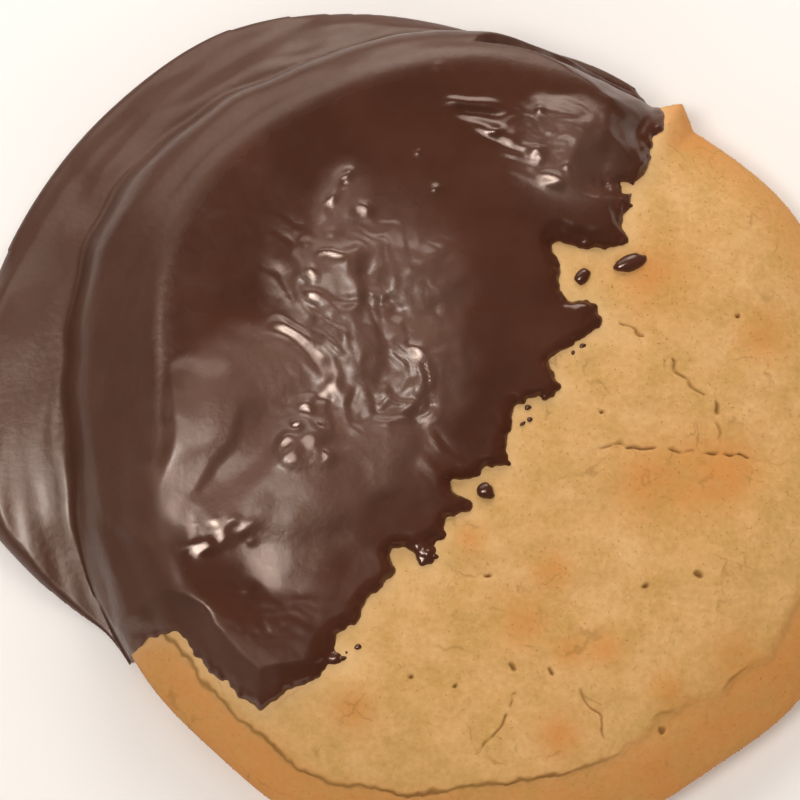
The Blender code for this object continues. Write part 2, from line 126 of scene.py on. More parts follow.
def patch(x, y, middleX, middleY, reachX, reachY, power=4):       # 1 in the middle of a patch, 0 well outside
    return np.exp(-((x - middleX) / reachX) ** power - ((y - middleY) / reachY) ** power)


def degreesOf(x, y):
    return np.degrees(np.arctan2(y, x)) % 360


def turnedAxes(x, y, degrees):                    # the same place along and across a turned axis
    turn = math.radians(degrees)
    return x * math.cos(turn) + y * math.sin(turn), y * math.cos(turn) - x * math.sin(turn)


def noise(x, y, size, seed):                      # smooth gradient noise, about -1 to 1, `size` mm across
    cells = 97
    turns = np.random.default_rng(seed).uniform(0.0, 2 * math.pi, (cells, cells))
    left, low = np.floor(x / size).astype(int), np.floor(y / size).astype(int)
    overX, overY = x / size - left, y / size - low
    shareX = overX**3 * (overX * (overX * 6 - 15) + 10)
    shareY = overY**3 * (overY * (overY * 6 - 15) + 10)

    def corner(i, j):
        turn = turns[(left + i) % cells, (low + j) % cells]
        return np.cos(turn) * (overX - i) + np.sin(turn) * (overY - j)

    near = corner(0, 0) * (1 - shareX) + corner(1, 0) * shareX
    far = corner(0, 1) * (1 - shareX) + corner(1, 1) * shareX
    return 1.6 * (near * (1 - shareY) + far * shareY)


def layeredNoise(x, y, size, seed, layers=3, keep=0.5):
    return sum(keep**i * noise(x, y, size / 2**i, seed + i) for i in range(layers))


def roundCurve(stops, degrees):                   # a closed smooth curve through (degrees, value) stops
    spots, values = np.array(sorted((d % 360, v) for d, v in stops)).T
    count = len(spots)
    degrees = np.asarray(degrees) % 360
    after = np.searchsorted(spots, degrees, side="right") % count
    low = (after - 1) % count
    span = (spots[after] - spots[low]) % 360
    share = ((degrees - spots[low]) % 360) / span

    def slope(i):
        width = (spots[(i + 1) % count] - spots[i - 1]) % 360
        return (values[(i + 1) % count] - values[i - 1]) / width * span

    return ((2 * share**3 - 3 * share**2 + 1) * values[low] + (share**3 - 2 * share**2 + share) * slope(low)
            + (3 * share**2 - 2 * share**3) * values[after] + (share**3 - share**2) * slope(after))


def smoothPath(points, steps=4):                  # a rounder path through the same points
    last = len(points) - 1
    made = []
    for k in range(last):
        a, b, c, d = (np.array(points[min(max(k + j, 0), last)]) for j in (-1, 0, 1, 2))
        for t in np.arange(steps) / steps:
            made.append(tuple(0.5 * (2 * b + (c - a) * t + (2 * a - 5 * b + 4 * c - d) * t * t
                                     + (3 * b - a - 3 * c + d) * t**3)))
    return made + [tuple(points[-1])]


def lineFields(x, y, start, stop):                # distance to a straight line and share along it
    dx, dy = stop[0] - start[0], stop[1] - start[1]
    t = np.clip(((x - start[0]) * dx + (y - start[1]) * dy) / (dx * dx + dy * dy), 0.0, 1.0)
    return np.hypot(x - start[0] - t * dx, y - start[1] - t * dy), t


def pathFields(x, y, points):                     # signed distance to a path (left is +) and share along it
    best = np.full(x.shape, 1e9)
    side = np.zeros(x.shape)
    along = np.zeros(x.shape)
    for k, ((ax, ay), (bx, by)) in enumerate(zip(points, points[1:])):
        away, t = lineFields(x, y, (ax, ay), (bx, by))
        nearer = away < best
        best[nearer] = away[nearer]
        side[nearer] = np.sign((bx - ax) * (y - ay) - (by - ay) * (x - ax))[nearer]
        along[nearer] = ((k + t) / (len(points) - 1))[nearer]
    return np.where(side < 0, -best, best), along


def signedInside(x, y, points):                   # distance to a closed outline, positive inside it
    best = np.full(x.shape, 1e9)
    inside = np.zeros(x.shape, dtype=bool)
    for (ax, ay), (bx, by) in zip(points, points[1:] + points[:1]):
        best = np.minimum(best, lineFields(x, y, (ax, ay), (bx, by))[0])
        if ay != by:
            inside ^= ((ay > y) != (by > y)) & (x < ax + (y - ay) * (bx - ax) / (by - ay))
    return np.where(inside, best, -best)


# The plain form that both pieces share, as the solids have it

form = dict(
    radius=44.0, crown=12.2, waist=3.0, power=5.0,
    waves=((2, 0.35, 0.6), (3, 0.3, 2.1), (5, 0.25, 4.0), (9, 0.2, 1.0), (14, 0.15, 5.0)),
    tipAngle=60.0, tipSpread=3.5, tipReach=2.2,
    lift=1.6, liftAngle=135.0, liftPivot=39.6, unevenness=0.3,
)


def outlineRadius(degrees):
    turn = np.radians(degrees)
    radius = form["radius"] + sum(size * np.sin(count * turn + phase) for count, size, phase in form["waves"])
    apart = np.abs((degrees - form["tipAngle"] + 180) % 360 - 180)
    return radius + form["tipReach"] * np.maximum(1.0 - apart / form["tipSpread"], 0.0)


def liftAt(x, y):
    turn = math.radians(form["liftAngle"])
    return form["lift"] * 0.5 * (1.0 + (x * math.cos(turn) + y * math.sin(turn)) / form["liftPivot"])


def domeHeight(share, crown):
    return form["waist"] + (crown - form["waist"]) * np.sqrt(np.maximum(1.0 - share**form["power"], 0.0))


def unevenTop(x, y, share):
    waves = np.sin(x / 8.5 + 0.7) * np.cos(y / 10.0 - 0.4) + 0.5 * np.sin((x - y) / 5.5)
    return form["unevenness"] * waves * (1.0 - np.minimum(share, 1.0)**4)


def plainTop(x, y):                               # the biscuit's top without its cracks and grain
    share = np.minimum(np.hypot(x, y) / outlineRadius(degreesOf(x, y)), 1.0)
    return domeHeight(share, form["crown"]) + unevenTop(x, y, share) + liftAt(x, y)


# Baked biscuit

biscuit = dict(
    grid=236, cutterGrid=90, denserAt=-45.0, denser=0.3, rimDensity=1.25,
    refineReach=0.85, refineCuts=2,
    foot=((1.0, 2.3), (0.997, 1.6), (0.985, 0.95), (0.965, 0.45), (0.935, 0.12), (0.9, 0.0)),
    creasePath=((180, 0.9), (215, 0.895), (235, 0.9), (255, 0.885), (272, 0.84), (290, 0.85), (303, 0.82),
                (316, 0.85), (335, 0.87), (0, 0.88), (60, 0.88), (120, 0.88)),
    creaseFade=((180, 0.0), (200, 1.0), (330, 1.0), (350, 0.5), (15, 0.0), (100, 0.0)),
    creaseShows=((180, 0.0), (200, 1.0), (280, 1.0), (291, 0.7), (297, 0.0), (301, 0.0), (304, 0.6),
                 (307, 0.0), (313, 0.0), (317, 0.7), (321, 0.0), (330, 0.0), (15, 0.0), (100, 0.0)),
    creaseDepth=0.5, creaseHalfWidth=0.17, creaseWobble=0.45, creaseShallow=0.55, creaseBreaks=(-0.3, 0.4),
    rimStep=0.5, rimStepFrom=(-0.2, 0.8), rimStepEnd=0.95,
    cracks=(                                      # half width, depth and the points they run through
        (0.14, 0.5, ((12.1, -0.9), (15.4, -0.5), (18.1, -0.7), (23.5, -1.1), (27.8, -1.5), (31.5, -2.6))),
        (0.14, 0.5, ((25.2, 4.8), (25.7, 2.4), (25.9, -0.1), (26.9, -1.5))),
        (0.12, 0.4, ((20.4, 9.2), (21.0, 7.8), (22.3, 6.6), (24.7, 4.9))),
        (0.12, 0.4, ((14.8, 13.0), (16.2, 12.4), (18.0, 11.4))),
        (0.12, 0.4, ((3.4, -27.0), (2.8, -28.4), (2.3, -30.2), (0.7, -32.2), (-1.3, -34.0))),
        (0.12, 0.35, ((10.6, -26.4), (11.2, -28.2), (12.6, -30.0), (13.2, -32.4))),
    ),
    crackWobble=0.45, crackWobbleSize=1.6, crackGaps=1.6, crackBreaks=(-0.5, 0.1), crackEnds=0.12,
    pits=((13.0, 3.0, 0.3), (0.3, -14.8, 0.25), (3.0, -24.4, 0.35), (7.4, -24.9, 0.3), (-7.6, -25.6, 0.3),
          (17.6, -15.7, 0.3), (19.4, -31.0, 0.35), (23.2, -14.6, 0.4), (27.8, 14.2, 0.3),
          (-2.9, -26.4, 0.25)),
    pitDepth=0.5,
    swells=((9.0, 0.22, 11), (3.2, 0.12, 14), (1.3, 0.05, 17)),      # size, height and seed of the bumps
    seed=5,
    topFrom=(2.2, 3.2),                           # heights between which the flank turns into the top
    # crackFull, creaseShare and creaseSpread set how dark the painted shade in cracks and crease is
    crackFull=0.6, creaseShare=0.8, creaseSpread=1.3, haloWidth=1.2, bareFrom=(0.3, 1.5),
    brownRim=(0.84, 0.97), brownCrease=(-1.2, 1.0), rimShare=0.8, blotchShare=1.2, brownest=1.2,
    blotches=(                                    # browner patches of the bare top: x, y, size
        (18.9, 18.4, 4.0), (18.0, -4.6, 3.6), (23.5, -4.0, 4.2), (27.0, -3.0, 3.2), (-1.6, -10.4, 1.8),
        (4.4, -19.6, 2.6), (7.4, -14.2, 2.0), (9.3, -22.6, 1.8), (13.2, -22.4, 1.8), (8.2, -31.8, 2.4),
        (27.6, -23.6, 3.0), (22.6, 36.0, 3.0), (31.0, 12.0, 2.6), (-14.0, -29.0, 2.2), (20.0, -27.0, 2.0),
    ),
)


def discGrid(steps, low=-1.0, denser=0.0):        # a square grid pulled round to a disc of radius 1
    u, v = np.meshgrid(np.linspace(low, 1, steps[0] + 1), np.linspace(-1, 1, steps[1] + 1), indexing="ij")
    u = u + denser * (1 - u * u)
    x, y = u * np.sqrt(1 - v * v / 2), v * np.sqrt(1 - u * u / 2)
    rows, columns = steps[0] + 1, steps[1] + 1
    first = (np.arange(rows - 1)[:, None] * columns + np.arange(columns - 1)).ravel()
    faces = np.stack([first, first + columns, first + columns + 1, first + 1], axis=1)
    return np.hypot(x, y).ravel(), np.degrees(np.arctan2(y, x)).ravel(), faces


def discShape(name, radius, degrees, faces):      # a flat disc, as a mesh and as a shape to work on
    x, y = radius * np.cos(np.radians(degrees)), radius * np.sin(np.radians(degrees))
    mesh = bpy.data.meshes.new(name)
    mesh.from_pydata(np.stack([x, y, 0 * x], axis=1) * mm, [], faces)
    shape = bmesh.new()
    shape.from_mesh(mesh)
    return mesh, shape


def faceMiddles(shape):
    return np.array([face.calc_center_median()[:2] for face in shape.faces]).T / mm


def refineFaces(shape, chosen, cuts):             # smaller faces where they are chosen
    shape.faces.ensure_lookup_table()
    edges = dict.fromkeys(edge for i in np.flatnonzero(chosen) for edge in shape.faces[i].edges)
    bmesh.ops.subdivide_edges(shape, edges=list(edges), cuts=cuts, use_grid_fill=True)


def raiseShape(shape, heightAt):                  # lifts a flat shape to the height of each place
    x, y = np.array([vert.co[:2] for vert in shape.verts]).T / mm
    for vert, height in zip(shape.verts, heightAt(x, y)):
        vert.co.z = height * mm
    return x, y


def extrudeRim(shape, rim):                       # a new rim from an old one: its points and its edges
    made = bmesh.ops.extrude_edge_only(shape, edges=rim)["geom"]
    kinds = bmesh.types.BMVert, bmesh.types.BMEdge
    return [[part for part in made if isinstance(part, kind)] for kind in kinds]


def creaseFields(x, y):                           # distance to the crease of cap and rim, how far it shows
    degrees = degreesOf(x, y)
    share = np.hypot(x, y) / outlineRadius(degrees)
    away = (share - roundCurve(biscuit["creasePath"], degrees)) * form["radius"]
    away = away + biscuit["creaseWobble"] * layeredNoise(x, y, 3.0, biscuit["seed"] + 1)
    fade = np.clip(roundCurve(biscuit["creaseFade"], degrees), 0.0, 1.0)
    shows = np.clip(roundCurve(biscuit["creaseShows"], degrees), 0.0, 1.0)
    return away, fade, shows, share


def crackFields(x, y):                            # depth of the cracks and pits in mm, how near they are
    wobbleX = biscuit["crackWobble"] * noise(x, y, biscuit["crackWobbleSize"], biscuit["seed"] + 2)
    wobbleY = biscuit["crackWobble"] * noise(x, y, biscuit["crackWobbleSize"], biscuit["seed"] + 3)
    broken = smoothStep(*biscuit["crackBreaks"], noise(x, y, biscuit["crackGaps"], biscuit["seed"] + 4))
    depth = np.zeros(x.shape)
    nearest = np.full(x.shape, 1e9)
    for halfWidth, deep, points in biscuit["cracks"]:
        away, along = pathFields(x + wobbleX, y + wobbleY, smoothPath(points))
        ends = fadeEnds(along, biscuit["crackEnds"], biscuit["crackEnds"])
        depth = np.maximum(depth, deep * broken * ends * np.exp(-(away / halfWidth) ** 2))
        nearest = np.minimum(nearest, np.abs(away))
    for px, py, radius in biscuit["pits"]:
        away = np.hypot(x - px + wobbleX, y - py + wobbleY)
        depth = np.maximum(depth, biscuit["pitDepth"] * np.exp(-(away / radius) ** 4))
        nearest = np.minimum(nearest, np.maximum(away - radius, 0))
    return depth, nearest


def bakedTop(x, y):                               # height of the biscuit's top with all its relief
    away, fade, shows, share = creaseFields(x, y)
    shallow = biscuit["creaseShallow"]
    broken = smoothStep(*biscuit["creaseBreaks"], noise(x, y, 4.0, biscuit["seed"] + 8))
    groove = biscuit["creaseDepth"] * (shallow + (1 - shallow) * broken)
    groove = groove * np.exp(-(away / biscuit["creaseHalfWidth"]) ** 2)
    step = biscuit["rimStep"] * smoothStep(*biscuit["rimStepFrom"], away)
    step = step * (1.0 - smoothStep(biscuit["rimStepEnd"], 1.0, share))
    inner = 1.0 - np.clip(share, 0, 1)**12
    bumps = sum(height * noise(x, y, size, seed) for size, height, seed in biscuit["swells"])
    return plainTop(x, y) - shows * groove - fade * step - crackFields(x, y)[0] + inner * bumps


def biscuitMesh(name, steps, topHeight, refine=False):
    share, degrees, faces = discGrid((steps, steps), denser=biscuit["denser"])
    share = 1.0 - np.maximum(1.0 - share, 0.0)**biscuit["rimDensity"]
    degrees = (degrees + biscuit["denserAt"]) % 360
    mesh, shape = discShape(name, share * outlineRadius(degrees), degrees, faces)
    if refine:                                    # along the cracks, pits and crease
        x, y = faceMiddles(shape)
        creaseAway, _, creaseShows, _ = creaseFields(x, y)
        near = crackFields(x, y)[1] < biscuit["refineReach"]
        near |= (np.abs(creaseAway) < biscuit["refineReach"]) & (creaseShows > 0.2)
        refineFaces(shape, near, biscuit["refineCuts"])
    raiseShape(shape, topHeight)
    rim = [edge for edge in shape.edges if edge.is_boundary]
    for footShare, height in biscuit["foot"]:     # the flank below the waist and the edge of the sole
        verts, rim = extrudeRim(shape, rim)
        spots = np.array([vert.co[:2] for vert in verts]) / mm
        turns = np.arctan2(spots[:, 1], spots[:, 0])
        reach = footShare * outlineRadius(np.degrees(turns) % 360)
        newX, newY = reach * np.cos(turns), reach * np.sin(turns)
        for vert, *place in zip(verts, newX, newY, height + liftAt(newX, newY)):
            vert.co = Vector(place) * mm
    sole = bmesh.ops.contextual_create(shape, geom=rim)["faces"]
    bmesh.ops.poke(shape, faces=sole)
    bmesh.ops.recalc_face_normals(shape, faces=shape.faces[:])
    finishShape(shape, mesh)
    return mesh


def makeBiscuit():
    mesh = biscuitMesh("bakedBiscuit", biscuit["grid"], bakedTop, refine=True)
    x, y, z = placesOf(mesh).T
    crack, _ = crackFields(x, y)
    away, fade, shows, share = creaseFields(x, y)
    crease = shows * np.exp(-(away / (biscuit["creaseSpread"] * biscuit["creaseHalfWidth"])) ** 2)
    top = smoothStep(*biscuit["topFrom"], z - liftAt(x, y))
    # painted shade: cracks, pits and the crease are darkened in colour as well as cut into the top
    paintedShadeInCracks = crack / biscuit["crackFull"] + biscuit["creaseShare"] * crease
    setValues(mesh, "paintedCrackShade", np.clip(paintedShadeInCracks * top, 0, 1))
    browned = sum(biscuit["blotchShare"] * np.exp(-((x - bx) ** 2 + (y - by) ** 2) / size**2)
                  for bx, by, size in biscuit["blotches"])
    rim = smoothStep(*biscuit["brownRim"], share) + fade * smoothStep(*biscuit["brownCrease"], away)
    setValues(mesh, "browning", np.clip(browned + biscuit["rimShare"] * rim, 0, biscuit["brownest"]))
    inside = insideDip(x, y)
    setValues(mesh, "nearDip", np.exp(-np.maximum(-inside, 0) / biscuit["haloWidth"]))
    setValues(mesh, "bare", top * smoothStep(*biscuit["bareFrom"], -inside))
    mesh.shade_smooth()
    return addObject("bakedBiscuit", mesh)


# Chocolate over the dipped half, one piece with its puddle

coat = dict(
    grid=(214, 366), gridFrom=-0.17, towards=135.0, crownShare=0.8, overReach=1.0,
    thickness=1.15, skirtBlend=1.7, narrowest=1.2, highest=16.6, widestSkirt=14.0, least=0.8,
    puddleHeight=4.0, levelFall=0.04, bulgeFall=0.48, bulgeFrom=1.4, rimWidth=2.6,
    bulgeBlend=1.2, unevenShare=0.4, leastBlend=0.4, leastShare=0.6, highestBlend=0.6,
    flankDrop=12.0, flankPower=8, flankWobble=0.6, flankWobbleSize=6.0,
    streakStretch=4.0, streakWidth=2.4, streakRise=0.16,
    shoulderBlend=((0, 1), (90, 1.1), (135, 1.2), (155, 0.9), (166, 0.8), (185, 0.8), (215, 0.6), (230, 0.8)),
    reach=((0, 45.6), (30, 45.6), (55, 46.0), (65, 46.4), (75, 47.6), (83, 48.2), (90, 49.4), (105, 53.6),
           (120, 57.5), (135, 58.4), (150, 58.6), (165, 58.2), (178, 57.2), (187, 55.6), (194, 52.0),
           (200, 48.6), (206, 45.8), (214, 45.3), (250, 45.6), (310, 45.6)),
    shoulder=((0, 41), (60, 41.2), (75, 41.8), (82, 42.1), (90, 42.7), (105, 42.4), (120, 42.2), (134, 42.0),
              (142, 41.2), (150, 40.0), (157, 38.4), (168, 36.0), (180, 35.0), (190, 36.8), (197, 37.6),
              (205, 37.6), (215, 39), (230, 40.5), (300, 41)),
    flankEnd=((0, 44.8), (60, 45.4), (75, 46.4), (90, 47.6), (105, 47.9), (115, 48.2), (127, 49.4),
              (137, 50.2), (147, 50.4), (157, 49.2), (168, 47.2), (180, 45.8), (195, 45), (205, 44.9),
              (215, 44.8), (300, 44.8)),
    flankSlope=((0, 0.6), (60, 0.5), (90, 0.5), (145, 0.5), (160, 0.62), (180, 0.72), (210, 0.72),
                (230, 0.6)),
    bulge=((0, 1), (90, 1), (150, 1), (166, 0), (200, 0), (230, 1)),
    leanTowards=42.0, crownFade=(-2.0, -0.2), crownSwell=0.04, crownSwellSize=6.0,
    lobeBlend=0.8, foldedBlend=0.3, foldEnds=0.3, ledgeStops=9, ledgeBlur=0.08, ledgeEnds=(0.2, 0.15),
    # How far the crown's pattern is bent at random: coarse, finer in a busy patch, and the folds' share of it
    bend=dict(size=4.2, reach=1.0, busySize=1.9, busyReach=0.45, busy=(-12, 10, 11, 16), folds=0.35, seed=41),
    # Wrinkled patches: x, y, reach in x and y, rise, size, stretch, turn and seed
    wrinkled=((-12.0, 11.0, 9.0, 13.0, 0.14, 1.9, 2.4, 125, 61),
              (8.5, 33.0, 6.0, 4.5, 0.26, 1.5, 2.4, -20, 64),
              (-18.9, -1.2, 2.6, 2.4, 0.2, 1.2, 1.4, 60, 70),
              (-24.0, -19.5, 6.0, 2.4, 0.1, 1.4, 2.2, 0, 77)),
    # Broad hollows and swells: x, y, reach in x and y, rise. Places without wrinkles: x, y, reach
    dips=((-23.0, 13.0, 4.5, 9.0, -0.4), (-34.0, -22.0, 8.0, 8.0, 0.9), (-25.5, -13.8, 4.5, 4.0, -0.5)),
    smooth=((-20.6, 11.2, 2.6), (-17.4, 7.4, 2.6), (-10.6, -1.2, 3.2), (-16.8, 17.6, 2.4)),
    tiles=dict(at=(-12.0, 11.0, 9.0, 12.5), length=2.7, steep=0.2, rise=0.42, bend=0.8, bendSize=6.0,
               fineBend=0.3, fineSize=2.4, gaps=(-0.4, 0.2), gapSize=5.0, seed=81),
    swirl=dict(x=-10.6, y=6.4, spacing=1.15, rise=0.16, inner=(1.2, 2.2), outer=(5.0, 7.0),
               starts=(-120, -80), stops=(50, 90)),
    lipWidth=0.7, lipHeight=0.55, bankSlope=0.8, bankBlend=0.3, tipRound=0.6,
    ragged=((1.9, 0.45, 31), (0.9, 0.25, 32)), raggedReach=1.0,
    bankSwell=dict(rise=0.35, starts=(0.6, 2.0), size=2.4, seed=33),
    # Outside the dip the sheet stays in the biscuit, which cuts it away, and sinks to the ground at its rim
    hiddenSlope=4.0, hiddenDepth=0.6, sunkFrom=(-3.4, -2.6), sunkFade=0.3, sunkDepth=1.0,
    wallFrom=(-2.0, 1.5), wallDegrees=(74, 200), wallRounds=5, refineReach=1.5, hollowGap=0.12, below=3.0,
    # For the material: lobes and flank are satin with a painted sheen, other skin is glossy, and a crest is
    # matt
    thinFrom=(0.2, 2.5), mattReach=2.2, ledgeGloss=0.85,
    mattPath=((-36.8, -5.0), (-36.0, -10.0), (-34.6, -15.0), (-31.8, -19.0), (-28.0, -22.5), (-24.2, -25.6)),
    satinReach=1.25, satinFull=0.9, flankSatin=0.9, flankSatinFrom=(-2.5, 0.5),
    paintedSheenReach=1.4, paintedSheenFull=1.3, paintedSheenNoise=(0.4, 2.6, 91), flankPaintedSheen=0.25, flankPaintedSheenFrom=(-1.5, 1.5),
    glossy=((-28.0, -16.0, 5.0, 3.2), (-24.0, -20.0, 7.0, 4.0)),
)

# Edge of the dip over the biscuit, from its far right end to its near left end
dipEdge = (
    (16.0, 47.0), (18.0, 43.2), (19.4, 41.2), (20.4, 39.5), (20.5, 37.0), (20.0, 35.1), (18.9, 33.9),
    (18.8, 31.2), (18.2, 29.7),
    (17.4, 28.8), (16.0, 28.7), (13.3, 28.9), (16.6, 27.3), (16.8, 26.2), (15.5, 25.7), (16.0, 22.5),
    (14.8, 21.8), (13.7, 21.1), (12.2, 21.3), (10.1, 21.8), (7.7, 22.0), (8.1, 20.3), (8.6, 18.5),
    (8.9, 16.3), (9.8, 15.3), (11.2, 15.8), (12.5, 14.8), (13.0, 13.7), (12.9, 12.0), (12.1, 12.7),
    (11.4, 11.3), (10.2, 10.6), (8.2, 9.5), (7.1, 8.2), (8.0, 7.3), (8.4, 5.2), (6.9, 4.6), (3.7, 3.9),
    (3.3, 2.1), (2.9, 0.5), (2.4, -0.8), (2.8, -2.8), (0.5, -3.0), (-0.7, -4.1), (-3.5, -4.6), (-2.2, -6.0),
    (-1.2, -7.9), (-2.8, -8.2), (-4.1, -9.2), (-4.3, -10.8), (-5.6, -11.0), (-5.3, -12.5), (-5.8, -14.1),
    (-6.8, -13.8), (-7.3, -12.0), (-9.9, -12.0), (-9.6, -13.8), (-10.1, -15.5), (-11.4, -16.4),
    (-12.8, -17.5), (-13.2, -19.4), (-14.7, -20.2), (-16.1, -21.7), (-16.3, -22.8), (-13.9, -23.0),
    (-15.0, -24.3), (-17.0, -24.5), (-17.5, -25.5), (-19.6, -26.4), (-21.6, -27.3), (-23.1, -28.5),
    (-23.9, -28.9), (-26.0, -27.4), (-27.7, -26.0), (-29.4, -24.5), (-30.6, -23.1), (-31.6, -22.4),
    (-32.5, -20.7), (-34.6, -20.8), (-36.5, -21.1), (-38.2, -22.4), (-39.6, -23.2),
)
dipFarSide = ((-75.0, -28.0), (-75.0, 75.0), (14.0, 75.0))
dipOutline = smoothPath(dipEdge, steps=3) + list(dipFarSide)

# Bands where the chocolate ran down and set over itself: (degrees, radius) stops, half width, rise
flowBands = (
    (((152, 47.6), (162, 46.4), (179, 44.9), (191, 44.0), (196, 42.8), (202, 43.2)), 1.2, 0.2),
    (((186, 42.2), (191, 41.1), (195, 39.3), (199, 37.1), (204, 37.4), (210, 38.6)), 1.0, 0.28),
)

# Lobes of the dipped crown: x, y, half length, half width, turn, rise, skew and how flat it is. A lobe is
# shaped like a roof tile: it rises slowly away from the light and drops off behind.
lobes = (
    (-29.8, 1.0, 8.2, 7.8, 20, 1.5, 0.6, 2.2),
    (-20.4, -5.4, 10.4, 9.0, 30, 1.5, 0.5, 2.2),
    (-11.4, 12.0, 10.6, 16.0, -6, 0.75, 0.6, 2.0),
    (10.0, 31.4, 6.8, 6.4, -20, 1.0, 0.9, 2.4),
    (-24.6, 7.4, 6.4, 5.0, 10, 0.8, 0.4, 2.2),
)

# Smaller lobes that lie on them, with the same numbers
folded = (
    (-10.6, -1.2, 4.2, 3.8, 0, 0.8, 0.6, 2.2),
    (-16.0, 18.0, 4.4, 4.2, 8, 0.8, 0.6, 2.2),
    (-14.6, 9.0, 5.0, 5.4, 28, 0.8, 0.6, 2.2),
    (-6.0, 8.0, 4.4, 5.8, 6, 0.8, 0.7, 2.2),
    (-7.6, 17.2, 5.6, 5.0, -24, 0.8, 0.7, 2.2),
    (-15.4, 26.0, 2.8, 4.4, -10, 0.35, 0.6, 2.2),
    (-19.2, -1.0, 2.8, 2.4, 30, 0.5, 0.6, 2.2),
)

# Knobs on the lobes: x, y, half length, half width, turn and rise
knobs = (
    (-20.9, -0.8, 0.8, 1.2, 10, 0.42), (-20.4, -2.4, 1, 0.7, 0, 0.34), (-18.7, -0.6, 1.1, 0.8, 30, 0.42),
    (-17, -2.4, 1.2, 0.9, 0, 0.42), (-18.9, 3.1, 1, 0.8, 0, 0.42), (-15.4, 28.2, 0.7, 1.3, -25, 0.42),
    (-16.8, 26, 0.7, 1.4, -20, 0.37), (-13, 25, 1.2, 0.9, 0, 0.34), (-16.2, 22.5, 0.8, 0.7, 0, 0.34),
    (-19, 21.5, 0.7, 0.6, 0, 0.26), (-13.7, 20.7, 0.9, 0.8, 0, 0.37), (-16, 19.8, 1.6, 0.7, -10, 0.34),
    (-18.4, 15.5, 1.2, 0.7, -20, 0.37), (-18.3, 17.9, 0.6, 0.9, 10, 0.34), (-7, 9, 0.9, 1.2, 10, 0.51),
    (6, 31.2, 0.7, 1.1, 0, 0.51), (9.3, 29.8, 0.8, 0.7, 0, 0.42),
    (8, 28.4, 1.8, 0.9, -15, 0.51), (11.8, 27.6, 1.6, 0.8, -10, 0.51), (6.5, 36.2, 0.6, 0.5, 0, 0.34),
    (1.5, 34.2, 0.7, 0.5, 0, 0.34), (-25.2, -16.3, 0.9, 0.7, 0, 0.16), (-32.4, -16.8, 0.7, 0.6, 0, 0.14),
    (-27.8, -20.9, 0.7, 0.5, 0, 0.12), (-27.4, -11.2, 0.8, 0.6, 30, 0.2), (-25.9, -10, 0.9, 0.7, 0, 0.25),
    (-24.6, -9.4, 0.7, 0.6, 0, 0.25), (-26.6, -9.2, 0.6, 0.6, 0, 0.2), (-24.9, -11.0, 0.6, 0.5, 0, 0.2),
    (-30.2, -11.9, 1.6, 0.6, 15, 0.22), (-34, 1.8, 0.6, 0.5, 0, 0.26), (-4.7, 41.6, 0.5, 0.4, 0, 0.34),
    (10.8, 42.6, 0.5, 0.4, 0, 0.34), (-5.2, 27.3, 0.4, 0.4, 0, 0.31), (-6.8, 31.8, 0.35, 0.35, 0, 0.2),
)

# Small flat faces that glint: x, y, half length, half width and turn
facets = (
    (-30.2, -12.0, 1.7, 0.65, 25), (-28.1, -10.6, 1.3, 0.8, 42), (-26.1, -10.1, 1.3, 1.0, 0),
    (-25.2, -11.2, 0.7, 0.5, -30), (-28.8, -9.2, 0.7, 0.5, 30), (-17.2, 4.6, 0.9, 0.7, 40),
    (-21.0, -0.6, 0.8, 1.1, 10), (-20.3, -2.3, 1.0, 0.7, 20), (-18.8, -0.8, 1.1, 1.0, 30),
    (-17.1, -2.3, 0.9, 0.8, 0), (-20.2, 1.2, 0.8, 0.7, 0), (-18.9, 3.0, 0.9, 0.9, 0),
    (-17.5, 1.2, 0.6, 0.5, 0), (-16.2, 20.0, 1.6, 0.6, -15), (-18.4, 18.0, 0.6, 0.9, 10),
    (-18.4, 15.6, 1.1, 0.6, -20), (-14.9, 28.4, 0.6, 1.2, -30), (-16.6, 25.9, 0.6, 1.0, -20),
    (-13.0, 25.0, 1.1, 0.7, 0), (-7.0, 9.0, 0.8, 1.1, 10), (-5.9, 7.0, 0.4, 1.3, 0),
    (-6.9, 3.6, 0.4, 1.2, -30), (6.0, 31.2, 0.7, 1.1, 0), (9.3, 29.8, 0.7, 0.6, 0),
    (7.6, 28.6, 1.6, 0.6, -12), (11.4, 27.8, 1.2, 0.6, -12), (-34.0, 1.8, 0.6, 0.5, 0),
)

# Long narrow faces that glint: path and half width
ledges = (
    (((-23.4, 12.9), (-21.6, 12.0), (-19.9, 11.0), (-18.3, 9.6), (-17.2, 8.0), (-16.4, 6.2), (-16.6, 4.8)),
     0.95),
    (((-17.9, 20.1), (-16.4, 20.2), (-14.9, 19.4)), 0.45),
    (((-8.2, 10.2), (-6.9, 9.0), (-5.9, 7.2), (-5.8, 5.2)), 0.5),
)

